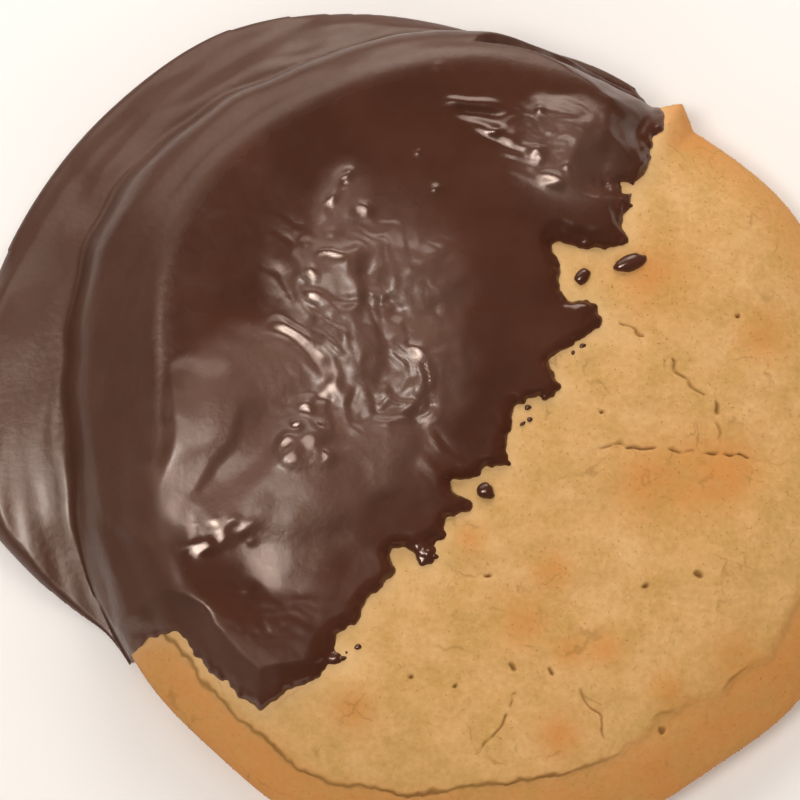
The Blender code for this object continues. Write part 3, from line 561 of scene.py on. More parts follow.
# Grooves and ridges: path, width to its left, width to its right and rise, which is negative in a groove
folds = (
    (((-24.0, 13.0), (-22.4, 12.4), (-20.0, 11.3), (-18.0, 9.6), (-16.5, 7.8), (-16.0, 6.0), (-16.9, 4.4)),
     0.6, 1.5, 0.3),
    (((-13.4, 20.0), (-12.8, 17.4), (-12.7, 15.0), (-13.6, 12.4)), 1.5, 0.5, -0.6),
    (((-10.9, 14.9), (-10.1, 14.0), (-8.8, 12.6)), 1.1, 0.4, -0.4),
    (((-5.6, 6.6), (-6.4, 3.8), (-8.0, 1.9), (-10.2, 1.2)), 0.9, 0.6, -0.4),
    (((-6.7, 8.4), (-6.8, 5.0), (-8.1, 2.9), (-9.8, 1.9)), 0.5, 0.5, 0.25),
    (((-25.0, 4.4), (-25.6, 1.6), (-26.6, -1.4), (-29.0, -4.4), (-31.0, -7.4)), 2.4, 0.6, -0.5),
    (((-31.4, -12.4), (-29.8, -12.0), (-28.5, -11.1), (-27.3, -10.0), (-26.0, -9.7), (-25.0, -10.8)),
     2.4, 0.6, 0.34),
    (((-4.6, 37.6), (-1.0, 37.4), (2.6, 36.8)), 0.4, 0.5, 0.25),
    (((-3.4, 36.2), (0.0, 36.0), (3.0, 35.2)), 0.5, 0.5, -0.25),
    (((-1.4, 35.2), (1.8, 34.0), (4.6, 33.2)), 0.6, 0.6, 0.25),
)


def lobeReach(x, y, lobe):                        # 0 in the middle of a lobe and 1 at its edge
    middleX, middleY, halfLength, halfWidth, turn = lobe[:5]
    along, across = turnedAxes(x - middleX, y - middleY, turn)
    return np.hypot(along / halfLength, across / halfWidth)


def lobeHeight(x, y, lobe):
    middleX, middleY, halfLength, halfWidth, turn, rise, skew, flat = lobe
    angle = math.radians(coat["leanTowards"] - turn)
    reach = math.hypot(halfLength * math.cos(angle), halfWidth * math.sin(angle))
    behind = turnedAxes(x - middleX, y - middleY, coat["leanTowards"])[0] / reach
    return rise * (1 - lobeReach(x, y, lobe)**flat) * (1 + skew * np.clip(behind, -1, 1))


def heaped(x, y, heap, blend):                    # lobes that run into each other
    total = np.zeros(x.shape)
    for lobe in heap:
        total = smoothMax(total, lobeHeight(x, y, lobe), blend)
    return total


def facetMask(x, y, facet):
    return np.exp(-lobeReach(x, y, facet)**4)


def stripeFields(x, y, path, halfWidth):          # 1 in a stripe along a path, distance to it, share along
    away, along = pathFields(x, y, smoothPath(path))
    return np.exp(-(away / halfWidth) ** 4), away, along


def lightPlace(degrees, up, distance):            # in mm, seen from the point that the camera looks at
    turn, rise = math.radians(degrees), math.radians(up)
    back = Vector((math.cos(turn) * math.cos(rise), math.sin(turn) * math.cos(rise), math.sin(rise)))
    return Vector(studio["target"]) + back * distance, back


def mirrorSlope(x, y):                            # slope of a face that mirrors the small light to the camera
    spark, place = studio["lights"]["spark"], Vector((x, y, studio["glintHeight"]))
    light, _ = lightPlace(spark["degrees"], spark["up"], spark["distance"])
    camera, _ = lightPlace(studio["cameraDegrees"], studio["cameraUp"], studio["cameraDistance"])
    half = (light - place).normalized() + (camera - place).normalized()
    return -half.x / half.z, -half.y / half.z


def bentPlaces(x, y):                             # places in the crown's pattern, which is bent at random
    bend = coat["bend"]
    busy = patch(x, y, *bend["busy"])
    return [place + bend["reach"] * noise(x, y, bend["size"], seed)
            + bend["busyReach"] * busy * noise(x, y, bend["busySize"], seed + 2)
            for place, seed in ((x, bend["seed"]), (y, bend["seed"] + 1))]


def foldRise(x, y):                               # the single grooves and ridges
    total = np.zeros(x.shape)
    margin = 6
    for path, leftWidth, rightWidth, rise in folds:
        low, high = np.min(path, axis=0) - margin, np.max(path, axis=0) + margin
        near = (x > low[0]) & (x < high[0]) & (y > low[1]) & (y < high[1])
        away, along = pathFields(x[near], y[near], smoothPath(path))
        width = np.where(away > 0, leftWidth, rightWidth)
        ends = fadeEnds(along, coat["foldEnds"], coat["foldEnds"])
        total[near] += rise * ends * np.maximum(1 - (away / (2 * width)) ** 2, 0) ** 2
    return total


def wrinkleRise(x, y, bentX, bentY):              # wrinkled patches, folds like roof tiles and a swirl
    total = np.zeros(x.shape)
    smooth = sum(np.exp(-(((x - smoothX) ** 2 + (y - smoothY) ** 2) / reach**2) ** 2)
                 for smoothX, smoothY, reach in coat["smooth"])
    rough = 1 - np.minimum(smooth, 1)
    for *place, rise, size, stretch, turn, seed in coat["wrinkled"]:
        along, across = turnedAxes(bentX, bentY, turn)
        wide, narrow = (noise(along / stretch, across, size / part, seed + part - 1) for part in (1, 2))
        total += rise * patch(x, y, *place) * rough * (np.abs(wide) + 0.5 * np.abs(narrow))
    tiles = coat["tiles"]
    phase = turnedAxes(x, y, coat["leanTowards"])[0] / tiles["length"]
    phase = phase + tiles["bend"] * noise(x, y, tiles["bendSize"], tiles["seed"])
    phase = phase + tiles["fineBend"] * noise(x, y, tiles["fineSize"], tiles["seed"] + 1)
    tooth = phase - np.floor(phase)
    tooth = np.minimum(tooth / (1 - tiles["steep"]), (1 - tooth) / tiles["steep"])
    whole = smoothStep(*tiles["gaps"], noise(x, y, tiles["gapSize"], tiles["seed"] + 2))
    total += tiles["rise"] * patch(x, y, *tiles["at"]) * rough * whole * tooth
    swirl = coat["swirl"]
    overX, overY = bentX - swirl["x"], bentY - swirl["y"]
    radius, turned = np.hypot(overX, overY), np.degrees(np.arctan2(overY, overX))
    shown = smoothStep(*swirl["inner"], radius) * (1 - smoothStep(*swirl["outer"], radius))
    shown = shown * smoothStep(*swirl["starts"], turned) * (1 - smoothStep(*swirl["stops"], turned))
    return total + swirl["rise"] * shown * np.abs(np.sin(math.pi * radius / swirl["spacing"]))


def coatCrown(x, y):                              # rise of the lobes, folds, wrinkles and glinting faces
    bentX, bentY = bentPlaces(x, y)
    share = coat["bend"]["folds"]
    foldX, foldY = x + share * (bentX - x), y + share * (bentY - y)
    total = heaped(bentX, bentY, lobes, coat["lobeBlend"]) + heaped(bentX, bentY, folded, coat["foldedBlend"])
    for knob in knobs:
        total += knob[-1] * np.exp(-lobeReach(foldX, foldY, knob)**2)
    for *place, rise in coat["dips"]:
        total += rise * patch(x, y, *place, power=2)
    total += foldRise(foldX, foldY) + wrinkleRise(x, y, bentX, bentY)
    least = 1e-12                                 # keeps the weights of an average above nothing
    for path, halfWidth in ledges:                # turned to the small light, level with the skin around them
        mask, away, along = stripeFields(foldX, foldY, path, halfWidth)
        stops = np.linspace(0.0, 1.0, coat["ledgeStops"])
        levels = [np.average(total, weights=mask * np.exp(-((along - stop) / coat["ledgeBlur"]) ** 2) + least)
                  for stop in stops]
        fall, level = np.polyfit(stops, levels, 1)
        face = level + fall * along + math.hypot(*mirrorSlope(*np.mean(path, axis=0))) * away
        mask = mask * fadeEnds(along, *coat["ledgeEnds"])
        total = total * (1 - mask) + face * mask
    for facet in facets:
        mask = facetMask(foldX, foldY, facet)
        leanX, leanY = mirrorSlope(*facet[:2])
        face = leanX * (foldX - facet[0]) + leanY * (foldY - facet[1])
        face = face + np.average(total - face, weights=mask + least)
        total = total * (1 - mask) + face * mask
    return total


def coatFlow(radius, degrees):                    # rise of the bands on the puddle and the flank
    total = np.zeros(radius.shape)
    for stops, halfWidth, rise in flowBands:
        spots, radii = np.array(stops).T
        starts = smoothStep(spots[0] - 4, spots[0] + 6, degrees)
        stays = 1 - smoothStep(spots[-1] - 6, spots[-1] + 4, degrees)
        middle = np.interp(degrees, spots, radii)
        total += starts * stays * rise * np.exp(-((radius - middle) / halfWidth) ** 2)
    return total


def coatTop(x, y):                                # outer skin of the chocolate, negative past its edge
    radius, degrees = np.hypot(x, y), degreesOf(x, y)
    edge, reach = outlineRadius(degrees), roundCurve(coat["reach"], degrees)
    shoulder, end = roundCurve(coat["shoulder"], degrees), roundCurve(coat["flankEnd"], degrees)
    end = end + coat["flankWobble"] * noise(x, y, coat["flankWobbleSize"], 52)
    slope = roundCurve(coat["flankSlope"], degrees)
    past = smoothMax(radius - shoulder, np.zeros(x.shape), roundCurve(coat["shoulderBlend"], degrees))
    gone = (past / (end - shoulder)) ** coat["flankPower"]
    cap = form["crown"] + coat["thickness"] + liftAt(x, y)        # the crown and the flank below it
    cap = cap + coat["unevenShare"] * unevenTop(x, y, radius / end)
    cap = cap - slope * past - (coat["flankDrop"] - slope * (end - shoulder)) * gone
    onCrown = 1 - smoothStep(*coat["crownFade"], radius - shoulder)
    swell = coat["crownSwell"] * noise(x, y, coat["crownSwellSize"], 51)
    cap = cap + onCrown * (coatCrown(x, y) + swell)
    over = radius - end                           # the puddle past the flank
    bulging = coat["bulgeFall"] * smoothMax(over - coat["bulgeFrom"], 0 * over, coat["bulgeBlend"])
    level = coat["levelFall"] * np.maximum(over, 0)
    bulge = np.clip(roundCurve(coat["bulge"], degrees), 0, 1)
    wide = np.minimum(np.maximum(reach - edge, coat["narrowest"]) / coat["widestSkirt"], 1.0)
    puddle = (coat["puddleHeight"] - level - (bulging - level) * bulge) * wide
    rimWidth = coat["rimWidth"] * np.minimum(wide + 0.1, 1.0)
    puddle = puddle * np.sqrt(np.maximum(1 - np.clip(1 - (reach - radius) / rimWidth, 0, 1)**2, 0))
    height = smoothMax(np.maximum(cap, 0), puddle, coat["skirtBlend"]) * (puddle > 0)
    height = height + coatFlow(radius, degrees) * smoothStep(0, 1.5, height)
    around = np.radians(degrees) * form["radius"] / coat["streakStretch"]
    streaks = coat["streakRise"] * noise(radius, around, coat["streakWidth"], 53)
    height = height + streaks * smoothStep(0, 2, radius - shoulder) * smoothStep(0, 1.5, height)
    inner = (radius - coat["least"]) / np.maximum(radius, 1)      # never thinner than this over the biscuit
    least = plainTop(x * inner, y * inner) + coat["leastShare"] * coat["least"]
    height = np.where(radius - coat["least"] < edge, smoothMax(height, least, coat["leastBlend"]), height)
    height = -smoothMax(-height, np.full(x.shape, -coat["highest"]), coat["highestBlend"])
    return np.where(radius < reach, height, -2.0 * (radius - reach))


def insideDip(x, y):                              # how far inside the ragged edge of the dip, in mm
    inside = signedInside(x, y, dipOutline)
    ring = coat["tipRound"]
    near = np.abs(inside) < 4 * ring              # pointed tips are rounded by the mean of a small ring
    turns = np.arange(6) * math.pi / 3
    rings = [signedInside(x[near] + ring * math.cos(turn), y[near] + ring * math.sin(turn), dipOutline)
             for turn in turns]
    inside[near] = (inside[near] + sum(rings)) / (len(turns) + 1)
    ragged = sum(height * noise(x, y, size, seed) for size, height, seed in coat["ragged"])
    return inside + ragged * np.exp(-(inside / coat["raggedReach"]) ** 2)


def coatHeight(x, y):                             # the skin, rounded off at the edge of the dip
    past = np.hypot(x, y) - outlineRadius(degreesOf(x, y))
    base = plainTop(x, y) * (1 - smoothStep(0.0, 0.6, past))
    inside = insideDip(x, y)
    lip = coat["lipHeight"] * np.sqrt(1 - np.clip(1 - inside / coat["lipWidth"], 0, 1)**2)
    bank = lip + coat["bankSlope"] * np.maximum(inside - 0.5 * coat["lipWidth"], 0)
    swell = coat["bankSwell"]
    swelling = swell["rise"] * smoothStep(*swell["starts"], inside)
    bank = bank + swelling * noise(x, y, swell["size"], swell["seed"])
    skin = base - smoothMax(base - coatTop(x, y), -bank, coat["bankBlend"])
    under = base + np.maximum(coat["hiddenSlope"] * inside, -coat["hiddenDepth"])
    sunk = smoothStep(*coat["sunkFrom"], past) * smoothStep(0.0, coat["sunkFade"], -inside)
    return np.where(inside > 0, np.minimum(skin, base + bank), under - sunk * (under + coat["sunkDepth"]))


def applyBoolean(target, operation, other):
    cut = target.modifiers.new("cut", "BOOLEAN")
    cut.operation, cut.solver, cut.object = operation, "MANIFOLD", other
    done = evaluatedMesh(target)
    target.modifiers.clear()
    target.data = done
    return done


def coatSheet():                                  # the skin over dip and puddle, closed well below the ground
    share, degrees, faces = discGrid(coat["grid"], low=coat["gridFrom"])
    degrees = (degrees + coat["towards"]) % 360
    edge, reach = outlineRadius(degrees), roundCurve(coat["reach"], degrees) + coat["overReach"]
    crown = coat["crownShare"]
    radius = np.where(share < crown, share / crown * edge,
                      edge + (share - crown) / (1 - crown) * (reach - edge))
    mesh, shape = discShape("chocolateDip", radius, degrees, faces)
    refineFaces(shape, np.abs(signedInside(*faceMiddles(shape), dipOutline)) < coat["refineReach"], 1)
    x, y = raiseShape(shape, coatHeight)
    degrees = degreesOf(x, y)
    past = np.hypot(x, y) - roundCurve(coat["flankEnd"], degrees)
    low, high = coat["wallFrom"]
    first, last = coat["wallDegrees"]
    steep = (past > low) & (past < high) & (degrees > first) & (degrees < last)
    wall = [vert for vert, chosen in zip(shape.verts, steep) if chosen]
    for _ in range(coat["wallRounds"]):           # the steep foot of the flank, smoothed
        bmesh.ops.smooth_vert(shape, verts=wall, factor=0.5,
                              use_axis_x=True, use_axis_y=True, use_axis_z=True)
    verts, rim = extrudeRim(shape, [edge for edge in shape.edges if edge.is_boundary])
    for vert in verts:
        vert.co.z = -coat["below"] * mm
    bmesh.ops.contextual_create(shape, geom=rim)
    bmesh.ops.recalc_face_normals(shape, faces=shape.faces[:])
    finishShape(shape, mesh)
    return mesh


def finishSkin(mesh):                             # tells the chocolate's material how the skin is
    x, y, _ = placesOf(mesh).T
    past = np.hypot(x, y) - roundCurve(coat["shoulder"], degreesOf(x, y))
    setValues(mesh, "thinness", 1 - smoothStep(*coat["thinFrom"], signedInside(x, y, dipOutline)))
    reaches = [lobeReach(x, y, lobe) for lobe in lobes + folded]
    satin = sum(np.maximum(coat["satinReach"] - reach, 0) for reach in reaches)
    satin = smoothStep(0.0, coat["satinFull"], satin)
    # painted sheen: the colour is made lighter on the lobes, where they catch the light
    amount, size, seed = coat["paintedSheenNoise"]
    paintedSheen = sum(np.maximum(coat["paintedSheenReach"] - reach, 0) for reach in reaches)
    paintedSheen = smoothStep(0.0, coat["paintedSheenFull"], paintedSheen * (1 + amount * noise(x, y, size, seed)))
    for place in coat["glossy"]:
        satin, paintedSheen = (value * (1 - patch(x, y, *place)) for value in (satin, paintedSheen))
    for facet in facets:
        satin = satin * (1 - facetMask(x, y, facet))
    for path, halfWidth in ledges:
        satin = satin * (1 - coat["ledgeGloss"] * stripeFields(x, y, path, halfWidth)[0])
    # and on the flank, a painted sheen where it catches the light
    flankPaintedSheen = coat["flankPaintedSheen"] * smoothStep(*coat["flankPaintedSheenFrom"], past)
    flankSatin = coat["flankSatin"] * smoothStep(*coat["flankSatinFrom"], past)
    setValues(mesh, "paintedSheen", np.maximum(paintedSheen, flankPaintedSheen))
    setValues(mesh, "satin", np.maximum(satin, flankSatin))
    setValues(mesh, "matt", stripeFields(x, y, coat["mattPath"], coat["mattReach"])[0])


def makeCoat():
    piece = addObject("chocolateDip", coatSheet())
    hollow = biscuitMesh("hollow", biscuit["cutterGrid"], plainTop)      # the space that the biscuit takes
    places = placesOf(hollow)
    normals = np.empty(places.size)
    hollow.vertices.foreach_get("normal", normals)
    setPlaces(hollow, places - coat["hollowGap"] * normals.reshape(-1, 3))
    ground = bpy.data.meshes.new("ground")
    block = bmesh.new()
    bmesh.ops.create_cube(block, size=0.2)
    bmesh.ops.translate(block, verts=block.verts, vec=(0, 0, 0.1))
    finishShape(block, ground)
    for operation, cutter in (("DIFFERENCE", hollow), ("INTERSECT", ground)):
        tool = addObject(cutter.name, cutter)
        mesh = applyBoolean(piece, operation, tool)
        bpy.data.objects.remove(tool, do_unlink=True)
    mesh.name = "chocolateDip"
    finishSkin(mesh)
    mesh.shade_smooth()
    mesh.set_sharp_from_angle(angle=math.radians(60))
    return piece


# Drops that fell on the bare half

drops = dict(
    sunk=0.15, wobble=0.18, wobbleSize=0.9, seed=71, thinness=0.6,
    places=(                                      # x, y, half length, half width, turn and height
        (16.3, 19.7, 1.9, 0.95, 20, 0.8), (0.4, -5.6, 1.05, 0.85, -40, 0.7), (11.0, 18.1, 1.0, 0.75, 60, 0.6),
        (-5.2, -12.6, 0.5, 0.4, 0, 0.35), (14.3, 26.6, 0.45, 0.35, 0, 0.3), (5.0, 3.6, 0.35, 0.3, 0, 0.25),
        (5.1, 2.2, 0.3, 0.25, 0, 0.2), (4.4, 1.8, 0.3, 0.2, 40, 0.2), (10.9, 10.3, 0.35, 0.25, 0, 0.2),
        (10.0, 9.7, 0.25, 0.2, 0, 0.2), (-15.2, -23.6, 0.6, 0.35, 10, 0.3),
        (-13.4, -22.4, 0.4, 0.25, 0, 0.25),
    ),
)


def makeDrops():
    shape = bmesh.new()
    for x, y, halfLength, halfWidth, turn, height in drops["places"]:
        level = plainTop(np.array([x]), np.array([y]))[0] + drops["sunk"] * height
        sizes = Matrix.Diagonal((halfLength * mm, halfWidth * mm, height * mm, 1.0))
        turned = Matrix.Rotation(math.radians(turn), 4, "Z") @ sizes
        place = Matrix.Translation(Vector((x, y, level)) * mm) @ turned
        bmesh.ops.create_icosphere(shape, subdivisions=3, radius=1.0, matrix=place)
    x, y = np.array([vert.co[:2] for vert in shape.verts]).T / mm
    wobble = drops["wobble"] * noise(x, y, drops["wobbleSize"], drops["seed"])
    for vert, shift in zip(shape.verts, wobble):
        vert.co.x += shift * mm
        vert.co.y += shift * mm
    mesh = bpy.data.meshes.new("looseDrops")
    finishShape(shape, mesh)
    setValues(mesh, "thinness", np.full(len(mesh.vertices), drops["thinness"]))
    mesh.shade_smooth()
    return addObject("looseDrops", mesh)


# Sandy grains that stand out of the baked top

crumbs = dict(density=1.6, smallest=0.04, largest=0.11, seed=8)      # grains a square mm, radii in mm


def scatterNodes():                               # grains strewn over a surface where it is bare
    tree = bpy.data.node_groups.new("scatterGrains", "GeometryNodeTree")
    for name, kind in (("Geometry", "Geometry"), ("Density", "Float"), ("Smallest", "Float"),
                       ("Largest", "Float"), ("Seed", "Int"), ("Material", "Material")):
        tree.interface.new_socket(name, in_out="INPUT", socket_type="NodeSocket" + kind)
    tree.interface.new_socket("Geometry", in_out="OUTPUT", socket_type="NodeSocketGeometry")
    given = addNode(tree, "NodeGroupInput").outputs
    fullTurn = 6.28
    bare = addNode(tree, "GeometryNodeInputNamedAttribute", {"Name": "bare"}, data_type="FLOAT")
    amount = addNode(tree, "ShaderNodeMath", {0: bare, 1: given["Density"]}, operation="MULTIPLY")
    spread = addNode(tree, "GeometryNodeDistributePointsOnFaces",
                     {"Mesh": given["Geometry"], "Density": amount, "Seed": given["Seed"]})
    grain = addNode(tree, "GeometryNodeMeshIcoSphere", {"Radius": 1.0, "Subdivisions": 1})
    turn = addNode(tree, "FunctionNodeRandomValue", {"Max": (fullTurn,) * 3, "Seed": given["Seed"]},
                   data_type="FLOAT_VECTOR")
    size = addNode(tree, "FunctionNodeRandomValue",
                   {2: given["Smallest"], 3: given["Largest"], "Seed": given["Seed"]}, data_type="FLOAT")
    placed = addNode(tree, "GeometryNodeInstanceOnPoints",
                     {"Points": spread, "Instance": grain, "Rotation": turn, "Scale": size})
    real = addNode(tree, "GeometryNodeRealizeInstances", {"Geometry": placed})
    named = addNode(tree, "GeometryNodeSetMaterial", {"Geometry": real, "Material": given["Material"]})
    addNode(tree, "NodeGroupOutput", {"Geometry": named})
    return tree


def makeCrumbs(base, material):
    piece = addObject("sandyCrumbs", base.data.copy())
    strewn = piece.modifiers.new("scatter", "NODES")
    strewn.node_group = scatterNodes()
    wanted = {"Density": crumbs["density"] / mm**2, "Smallest": crumbs["smallest"] * mm,
              "Largest": crumbs["largest"] * mm, "Seed": crumbs["seed"], "Material": material}
    for item in strewn.node_group.interface.items_tree:
        if item.in_out == "INPUT" and item.name in wanted:
            strewn[item.identifier] = wanted[item.name]
    mesh = evaluatedMesh(piece)
    piece.modifiers.clear()
    piece.data = mesh
    mesh.name = "sandyCrumbs"
    return piece


# Materials

def bakedDough():
    # Baked peanut dough: a dry, matt, sandy crumb with no gloss, browner where the oven caught it
    material, tree = newMaterial("bakedPeanutDough")
    place = addNode(tree, "ShaderNodeTexCoord").outputs["Object"]
    browning, crack, halo = (addNode(tree, "ShaderNodeAttribute", attribute_name=name).outputs["Fac"]
                             for name in ("browning", "paintedCrackShade", "nearDip"))
    cloud = addNode(tree, "ShaderNodeTexNoise",
                    {"Vector": place, "Scale": perMm(4.5), "Detail": 4.0, "Roughness": 0.6})
    grain = addNode(tree, "ShaderNodeTexNoise",
                    {"Vector": place, "Scale": perMm(0.7), "Detail": 3.0, "Roughness": 0.6})
    base = addNode(tree, "ShaderNodeValToRGB", {"Fac": cloud},
                   stops=((0.35, "#BE9552"), (0.55, "#D0A266"), (0.75, "#DAB078")))
    sand = addNode(tree, "ShaderNodeValToRGB", {"Fac": grain}, stops=((0.3, "#B98A4A"), (0.7, "#E0B77E")))
    mixed = addNode(tree, "ShaderNodeMix", {"Factor": 0.3, "A": base, "B": sand}, data_type="RGBA")
    caught = addNode(tree, "ShaderNodeMath", {0: browning, 1: cloud}, operation="MULTIPLY")
    browned = addNode(tree, "ShaderNodeMix", {"Factor": caught, "A": mixed, "B": linearColour("#C8813A")},
                      data_type="RGBA")
    pale = addNode(tree, "ShaderNodeMath", {0: halo, 1: 0.5}, operation="MULTIPLY")
    edged = addNode(tree, "ShaderNodeMix", {"Factor": pale, "A": browned, "B": linearColour("#E2BF8C")},
                    data_type="RGBA")
    wander = addNode(tree, "ShaderNodeTexNoise", {"Vector": place, "Scale": perMm(2.5), "Detail": 3.0})
    bent = addNode(tree, "ShaderNodeVectorMath",
                   {0: wander.outputs["Color"], 1: (3 * mm,) * 3, 2: place}, operation="MULTIPLY_ADD")
    cells = addNode(tree, "ShaderNodeTexVoronoi", {"Vector": bent, "Scale": perMm(7.0)},
                    feature="DISTANCE_TO_EDGE")   # hairline cracks between cells, open in patches only, drawn as lines of painted shade
    hairline = addNode(tree, "ShaderNodeMapRange", {"Value": cells, "From Min": 0.008, "From Max": 0.03,
                                                    "To Min": 1.0, "To Max": 0.0})
    patches = addNode(tree, "ShaderNodeTexNoise", {"Vector": place, "Scale": perMm(3.5), "Detail": 2.0})
    opened = addNode(tree, "ShaderNodeMapRange", {"Value": patches, "From Min": 0.55, "From Max": 0.68,
                                                  "To Min": 0.0, "To Max": 0.35})
    lines = addNode(tree, "ShaderNodeMath", {0: hairline, 1: opened}, operation="MULTIPLY")
    # painted shade in the cracks, pits, crease and hairlines
    paintedShadeInCracks = addNode(tree, "ShaderNodeMath", {0: crack, 1: lines}, operation="MAXIMUM")
    withCrackShade = addNode(tree, "ShaderNodeMix", {"Factor": paintedShadeInCracks, "A": edged, "B": linearColour("#8C6630")},
                      data_type="RGBA")
    pores = addNode(tree, "ShaderNodeTexVoronoi", {"Vector": place, "Scale": perMm(0.9)})
    relief = addNode(tree, "ShaderNodeMath", {0: grain, 1: pores, 2: 0.5}, operation="MULTIPLY_ADD")
    bump = addNode(tree, "ShaderNodeBump", {"Height": relief, "Strength": 0.6, "Distance": 0.12 * mm})
    shader = addNode(tree, "ShaderNodeBsdfPrincipled",
                     {"Base Color": withCrackShade, "Normal": bump, "Roughness": 0.85, "IOR": 1.45,
                      "Specular IOR Level": 0.25})
    addNode(tree, "ShaderNodeOutputMaterial", {"Surface": shader})
    return material


def pouredChocolate():
    # Dark chocolate, melted, dipped and set: glossy on knobs and folds, satin on its lobes and flank, which
    #     # carry a painted sheen, a lighter colour for the light they catch, and matt along the crest of its
    #     bank
    material, tree = newMaterial("pouredDarkChocolate")
    place = addNode(tree, "ShaderNodeTexCoord").outputs["Object"]
    thin, paintedSheen, satin, matt = (addNode(tree, "ShaderNodeAttribute", attribute_name=name).outputs["Fac"]
                                for name in ("thinness", "paintedSheen", "satin", "matt"))
    cloud = addNode(tree, "ShaderNodeTexNoise", {"Vector": place, "Scale": perMm(9.0), "Detail": 3.0})
    body = addNode(tree, "ShaderNodeValToRGB", {"Fac": cloud}, stops=((0.35, "#44261A"), (0.7, "#4E2E21")))
    amount = addNode(tree, "ShaderNodeMath", {0: thin, 1: 0.3}, operation="MULTIPLY")
    colour = addNode(tree, "ShaderNodeMix", {"Factor": amount, "A": body, "B": linearColour("#4E2412")},
                     data_type="RGBA")
    # painted sheen: a lighter grey-brown where the lobes and flank catch the light
    paintedSheenShare = addNode(tree, "ShaderNodeMath", {0: paintedSheen, 1: 0.35}, operation="MULTIPLY")
    withPaintedSheen = addNode(tree, "ShaderNodeMix", {"Factor": paintedSheenShare, "A": colour, "B": linearColour("#74584C")},
                      data_type="RGBA")
    ripple = addNode(tree, "ShaderNodeTexNoise",
                     {"Vector": place, "Scale": perMm(1.8), "Detail": 3.0, "Distortion": 0.6})
    skin = addNode(tree, "ShaderNodeTexNoise", {"Vector": place, "Scale": perMm(0.8), "Detail": 3.0})
    level = addNode(tree, "ShaderNodeMath", {0: skin, 1: 0.5}, operation="SUBTRACT")
    fine = addNode(tree, "ShaderNodeMath", {0: satin, 1: level}, operation="MULTIPLY")
    relief = addNode(tree, "ShaderNodeMath", {0: fine, 1: 2.5, 2: ripple}, operation="MULTIPLY_ADD")
    bump = addNode(tree, "ShaderNodeBump", {"Height": relief, "Strength": 0.25, "Distance": 0.12 * mm})
    plain = addNode(tree, "ShaderNodeMapRange", {"Value": ripple, "From Min": 0.3, "From Max": 0.7,
                                                 "To Min": 0.18, "To Max": 0.26})
    rough = addNode(tree, "ShaderNodeMath", {0: satin, 1: 0.26, 2: plain}, operation="MULTIPLY_ADD")
    dull = addNode(tree, "ShaderNodeMath", {0: matt, 1: 0.4, 2: rough}, operation="MULTIPLY_ADD")
    wet = addNode(tree, "ShaderNodeMath", {0: matt, 1: -0.25, 2: 0.25}, operation="MULTIPLY_ADD")
    shader = addNode(tree, "ShaderNodeBsdfPrincipled",
                     {"Base Color": withPaintedSheen, "Normal": bump, "Roughness": dull, "IOR": 1.47,
                      "Specular Tint": linearColour("#F6DCCB"), "Coat Weight": wet, "Coat Roughness": 0.2,
                      "Coat IOR": 1.45})
    addNode(tree, "ShaderNodeOutputMaterial", {"Surface": shader})
    return material


def studioPaper():
    # Matt paper: even and pale, only there to carry the object's shadow
    material, tree = newMaterial("studioPaper")
    shader = addNode(tree, "ShaderNodeBsdfPrincipled",
                     {"Base Color": linearColour("#F6F4F2"), "Roughness": 0.9, "Specular IOR Level": 0.1})
    addNode(tree, "ShaderNodeOutputMaterial", {"Surface": shader})
    return material


# Floor, lights and camera

studio = dict(
    floorSize=1.6, floorDrop=0.05, target=(-8.9, 6.2, 3.0), glintHeight=14.5,
    lights=dict(                                  # direction, distance and size in mm, radiance and colour
        key=dict(degrees=198, up=71, distance=420, size=(180, 180), radiance=9.0),
        spark=dict(degrees=207, up=60, distance=415, size=(110, 110), radiance=30.0, colour="#FFFBF6",
                   uses="glints"),
        strip=dict(degrees=112, up=34, distance=420, size=(470, 260), radiance=2.5),
        topStrip=dict(degrees=84, up=30, distance=400, size=(240, 240), radiance=4.0),
        nearFill=dict(degrees=-50, up=35, distance=520, size=(440, 360), radiance=2.0, colour="#FFF9F3",
                      uses="dough"),
        rightFill=dict(degrees=40, up=30, distance=520, size=(400, 320), radiance=1.7, colour="#FFF9F3",
                       uses="dough"),
        lowFill=dict(degrees=-120, up=30, distance=520, size=(400, 320), radiance=1.7, colour="#FFF9F3",
                     uses="dough"),
    ),
    sky="#FFF4EA", skyStrength=0.05,
    cameraDegrees=-90.0, cameraUp=80.0, cameraDistance=350.0, pixelsPerMm=8.95, imageSize=800, sensor=36.0,
)


def standAt(thing, degrees, up, distance):        # puts a lamp or camera round the target, turned towards it
    place, back = lightPlace(degrees, up, distance)
    thing.location = place * mm
    thing.rotation_euler = back.to_track_quat("Z", "Y").to_euler()


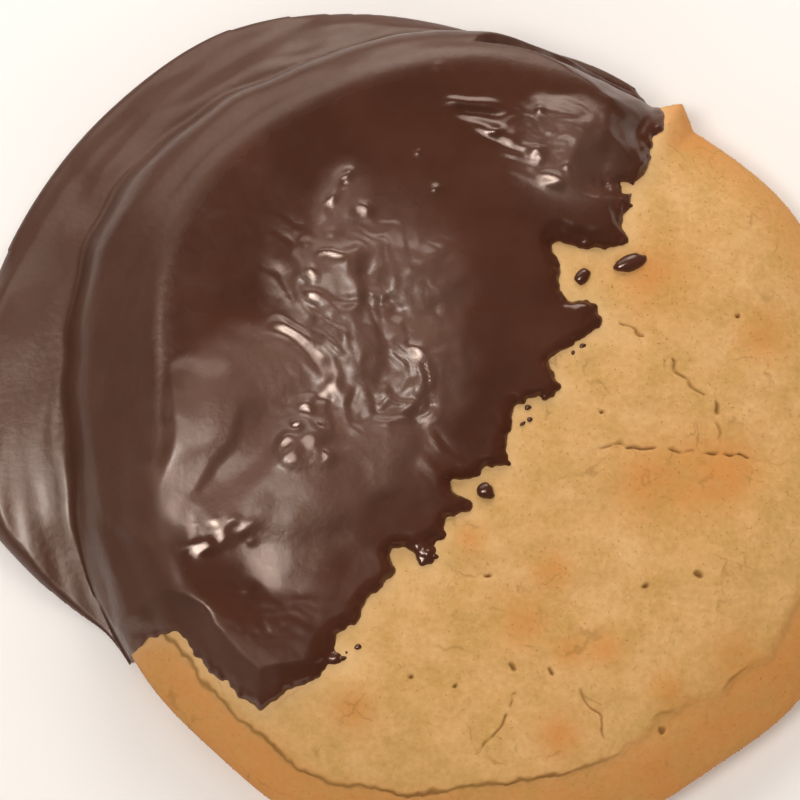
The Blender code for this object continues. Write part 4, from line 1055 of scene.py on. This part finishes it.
def addSoftbox(name, degrees, up, distance, size, radiance, colour="#FFF8F2", uses="both"):
    data = bpy.data.lights.new(name, "AREA")
    data.shape = "ELLIPSE"
    data.size, data.size_y = size[0] * mm, size[1] * mm
    area = math.pi / 4 * data.size * data.size_y
    data.energy = radiance * math.pi * area
    data.color = linearColour(colour)[:3]
    lamp = addObject(name, data)
    standAt(lamp, degrees, up, distance)
    lamp.visible_glossy = uses != "dough"         # a fill lights the dough and leaves no glints
    lamp.visible_diffuse = uses != "glints"


def makeStudio():
    mesh = bpy.data.meshes.new("floor")
    shape = bmesh.new()
    bmesh.ops.create_grid(shape, x_segments=1, y_segments=1, size=studio["floorSize"])
    bmesh.ops.translate(shape, verts=shape.verts, vec=(0, 0, -studio["floorDrop"] * mm))
    finishShape(shape, mesh)
    floor = addObject("floor", mesh)
    mesh.materials.append(studioPaper())
    for name, light in studio["lights"].items():
        addSoftbox(name, **light)
    world = bpy.data.worlds.new("studioSky")
    world.use_nodes = True
    sky = world.node_tree.nodes["Background"].inputs
    sky["Color"].default_value = linearColour(studio["sky"])
    sky["Strength"].default_value = studio["skyStrength"]
    bpy.context.scene.world = world
    bpy.context.scene.view_settings.view_transform = "Standard"


def makeCamera():
    data = bpy.data.cameras.new("camera")
    data.sensor_width = studio["sensor"]
    data.lens = studio["pixelsPerMm"] * studio["cameraDistance"] * studio["sensor"] / studio["imageSize"]
    data.clip_start, data.clip_end = 0.01, 10.0
    camera = addObject("camera", data)
    standAt(camera, studio["cameraDegrees"], studio["cameraUp"], studio["cameraDistance"])
    bpy.context.scene.camera = camera


makeCamera()
makeStudio()
print("camera, floor and lights are in place")

dough, chocolate = bakedDough(), pouredChocolate()
bakedBiscuit = makeBiscuit()
bakedBiscuit.data.materials.append(dough)
print("biscuit baked:", len(bakedBiscuit.data.polygons), "faces")
chocolateDip = makeCoat()
chocolateDip.data.materials.clear()
chocolateDip.data.materials.append(chocolate)
print("chocolate poured:", len(chocolateDip.data.polygons), "faces")

looseDrops = makeDrops()
looseDrops.data.materials.append(chocolate)
sandyCrumbs = makeCrumbs(bakedBiscuit, dough)
print("drops and crumbs strewn:", len(sandyCrumbs.data.polygons), "faces")

for piece, slot in ((bakedBiscuit, "baked_dough"), (sandyCrumbs, "baked_dough"),
                    (chocolateDip, "dark_chocolate"), (looseDrops, "dark_chocolate")):
    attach(piece, "root")
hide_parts("biscuit")
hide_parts("chocolate_coat")
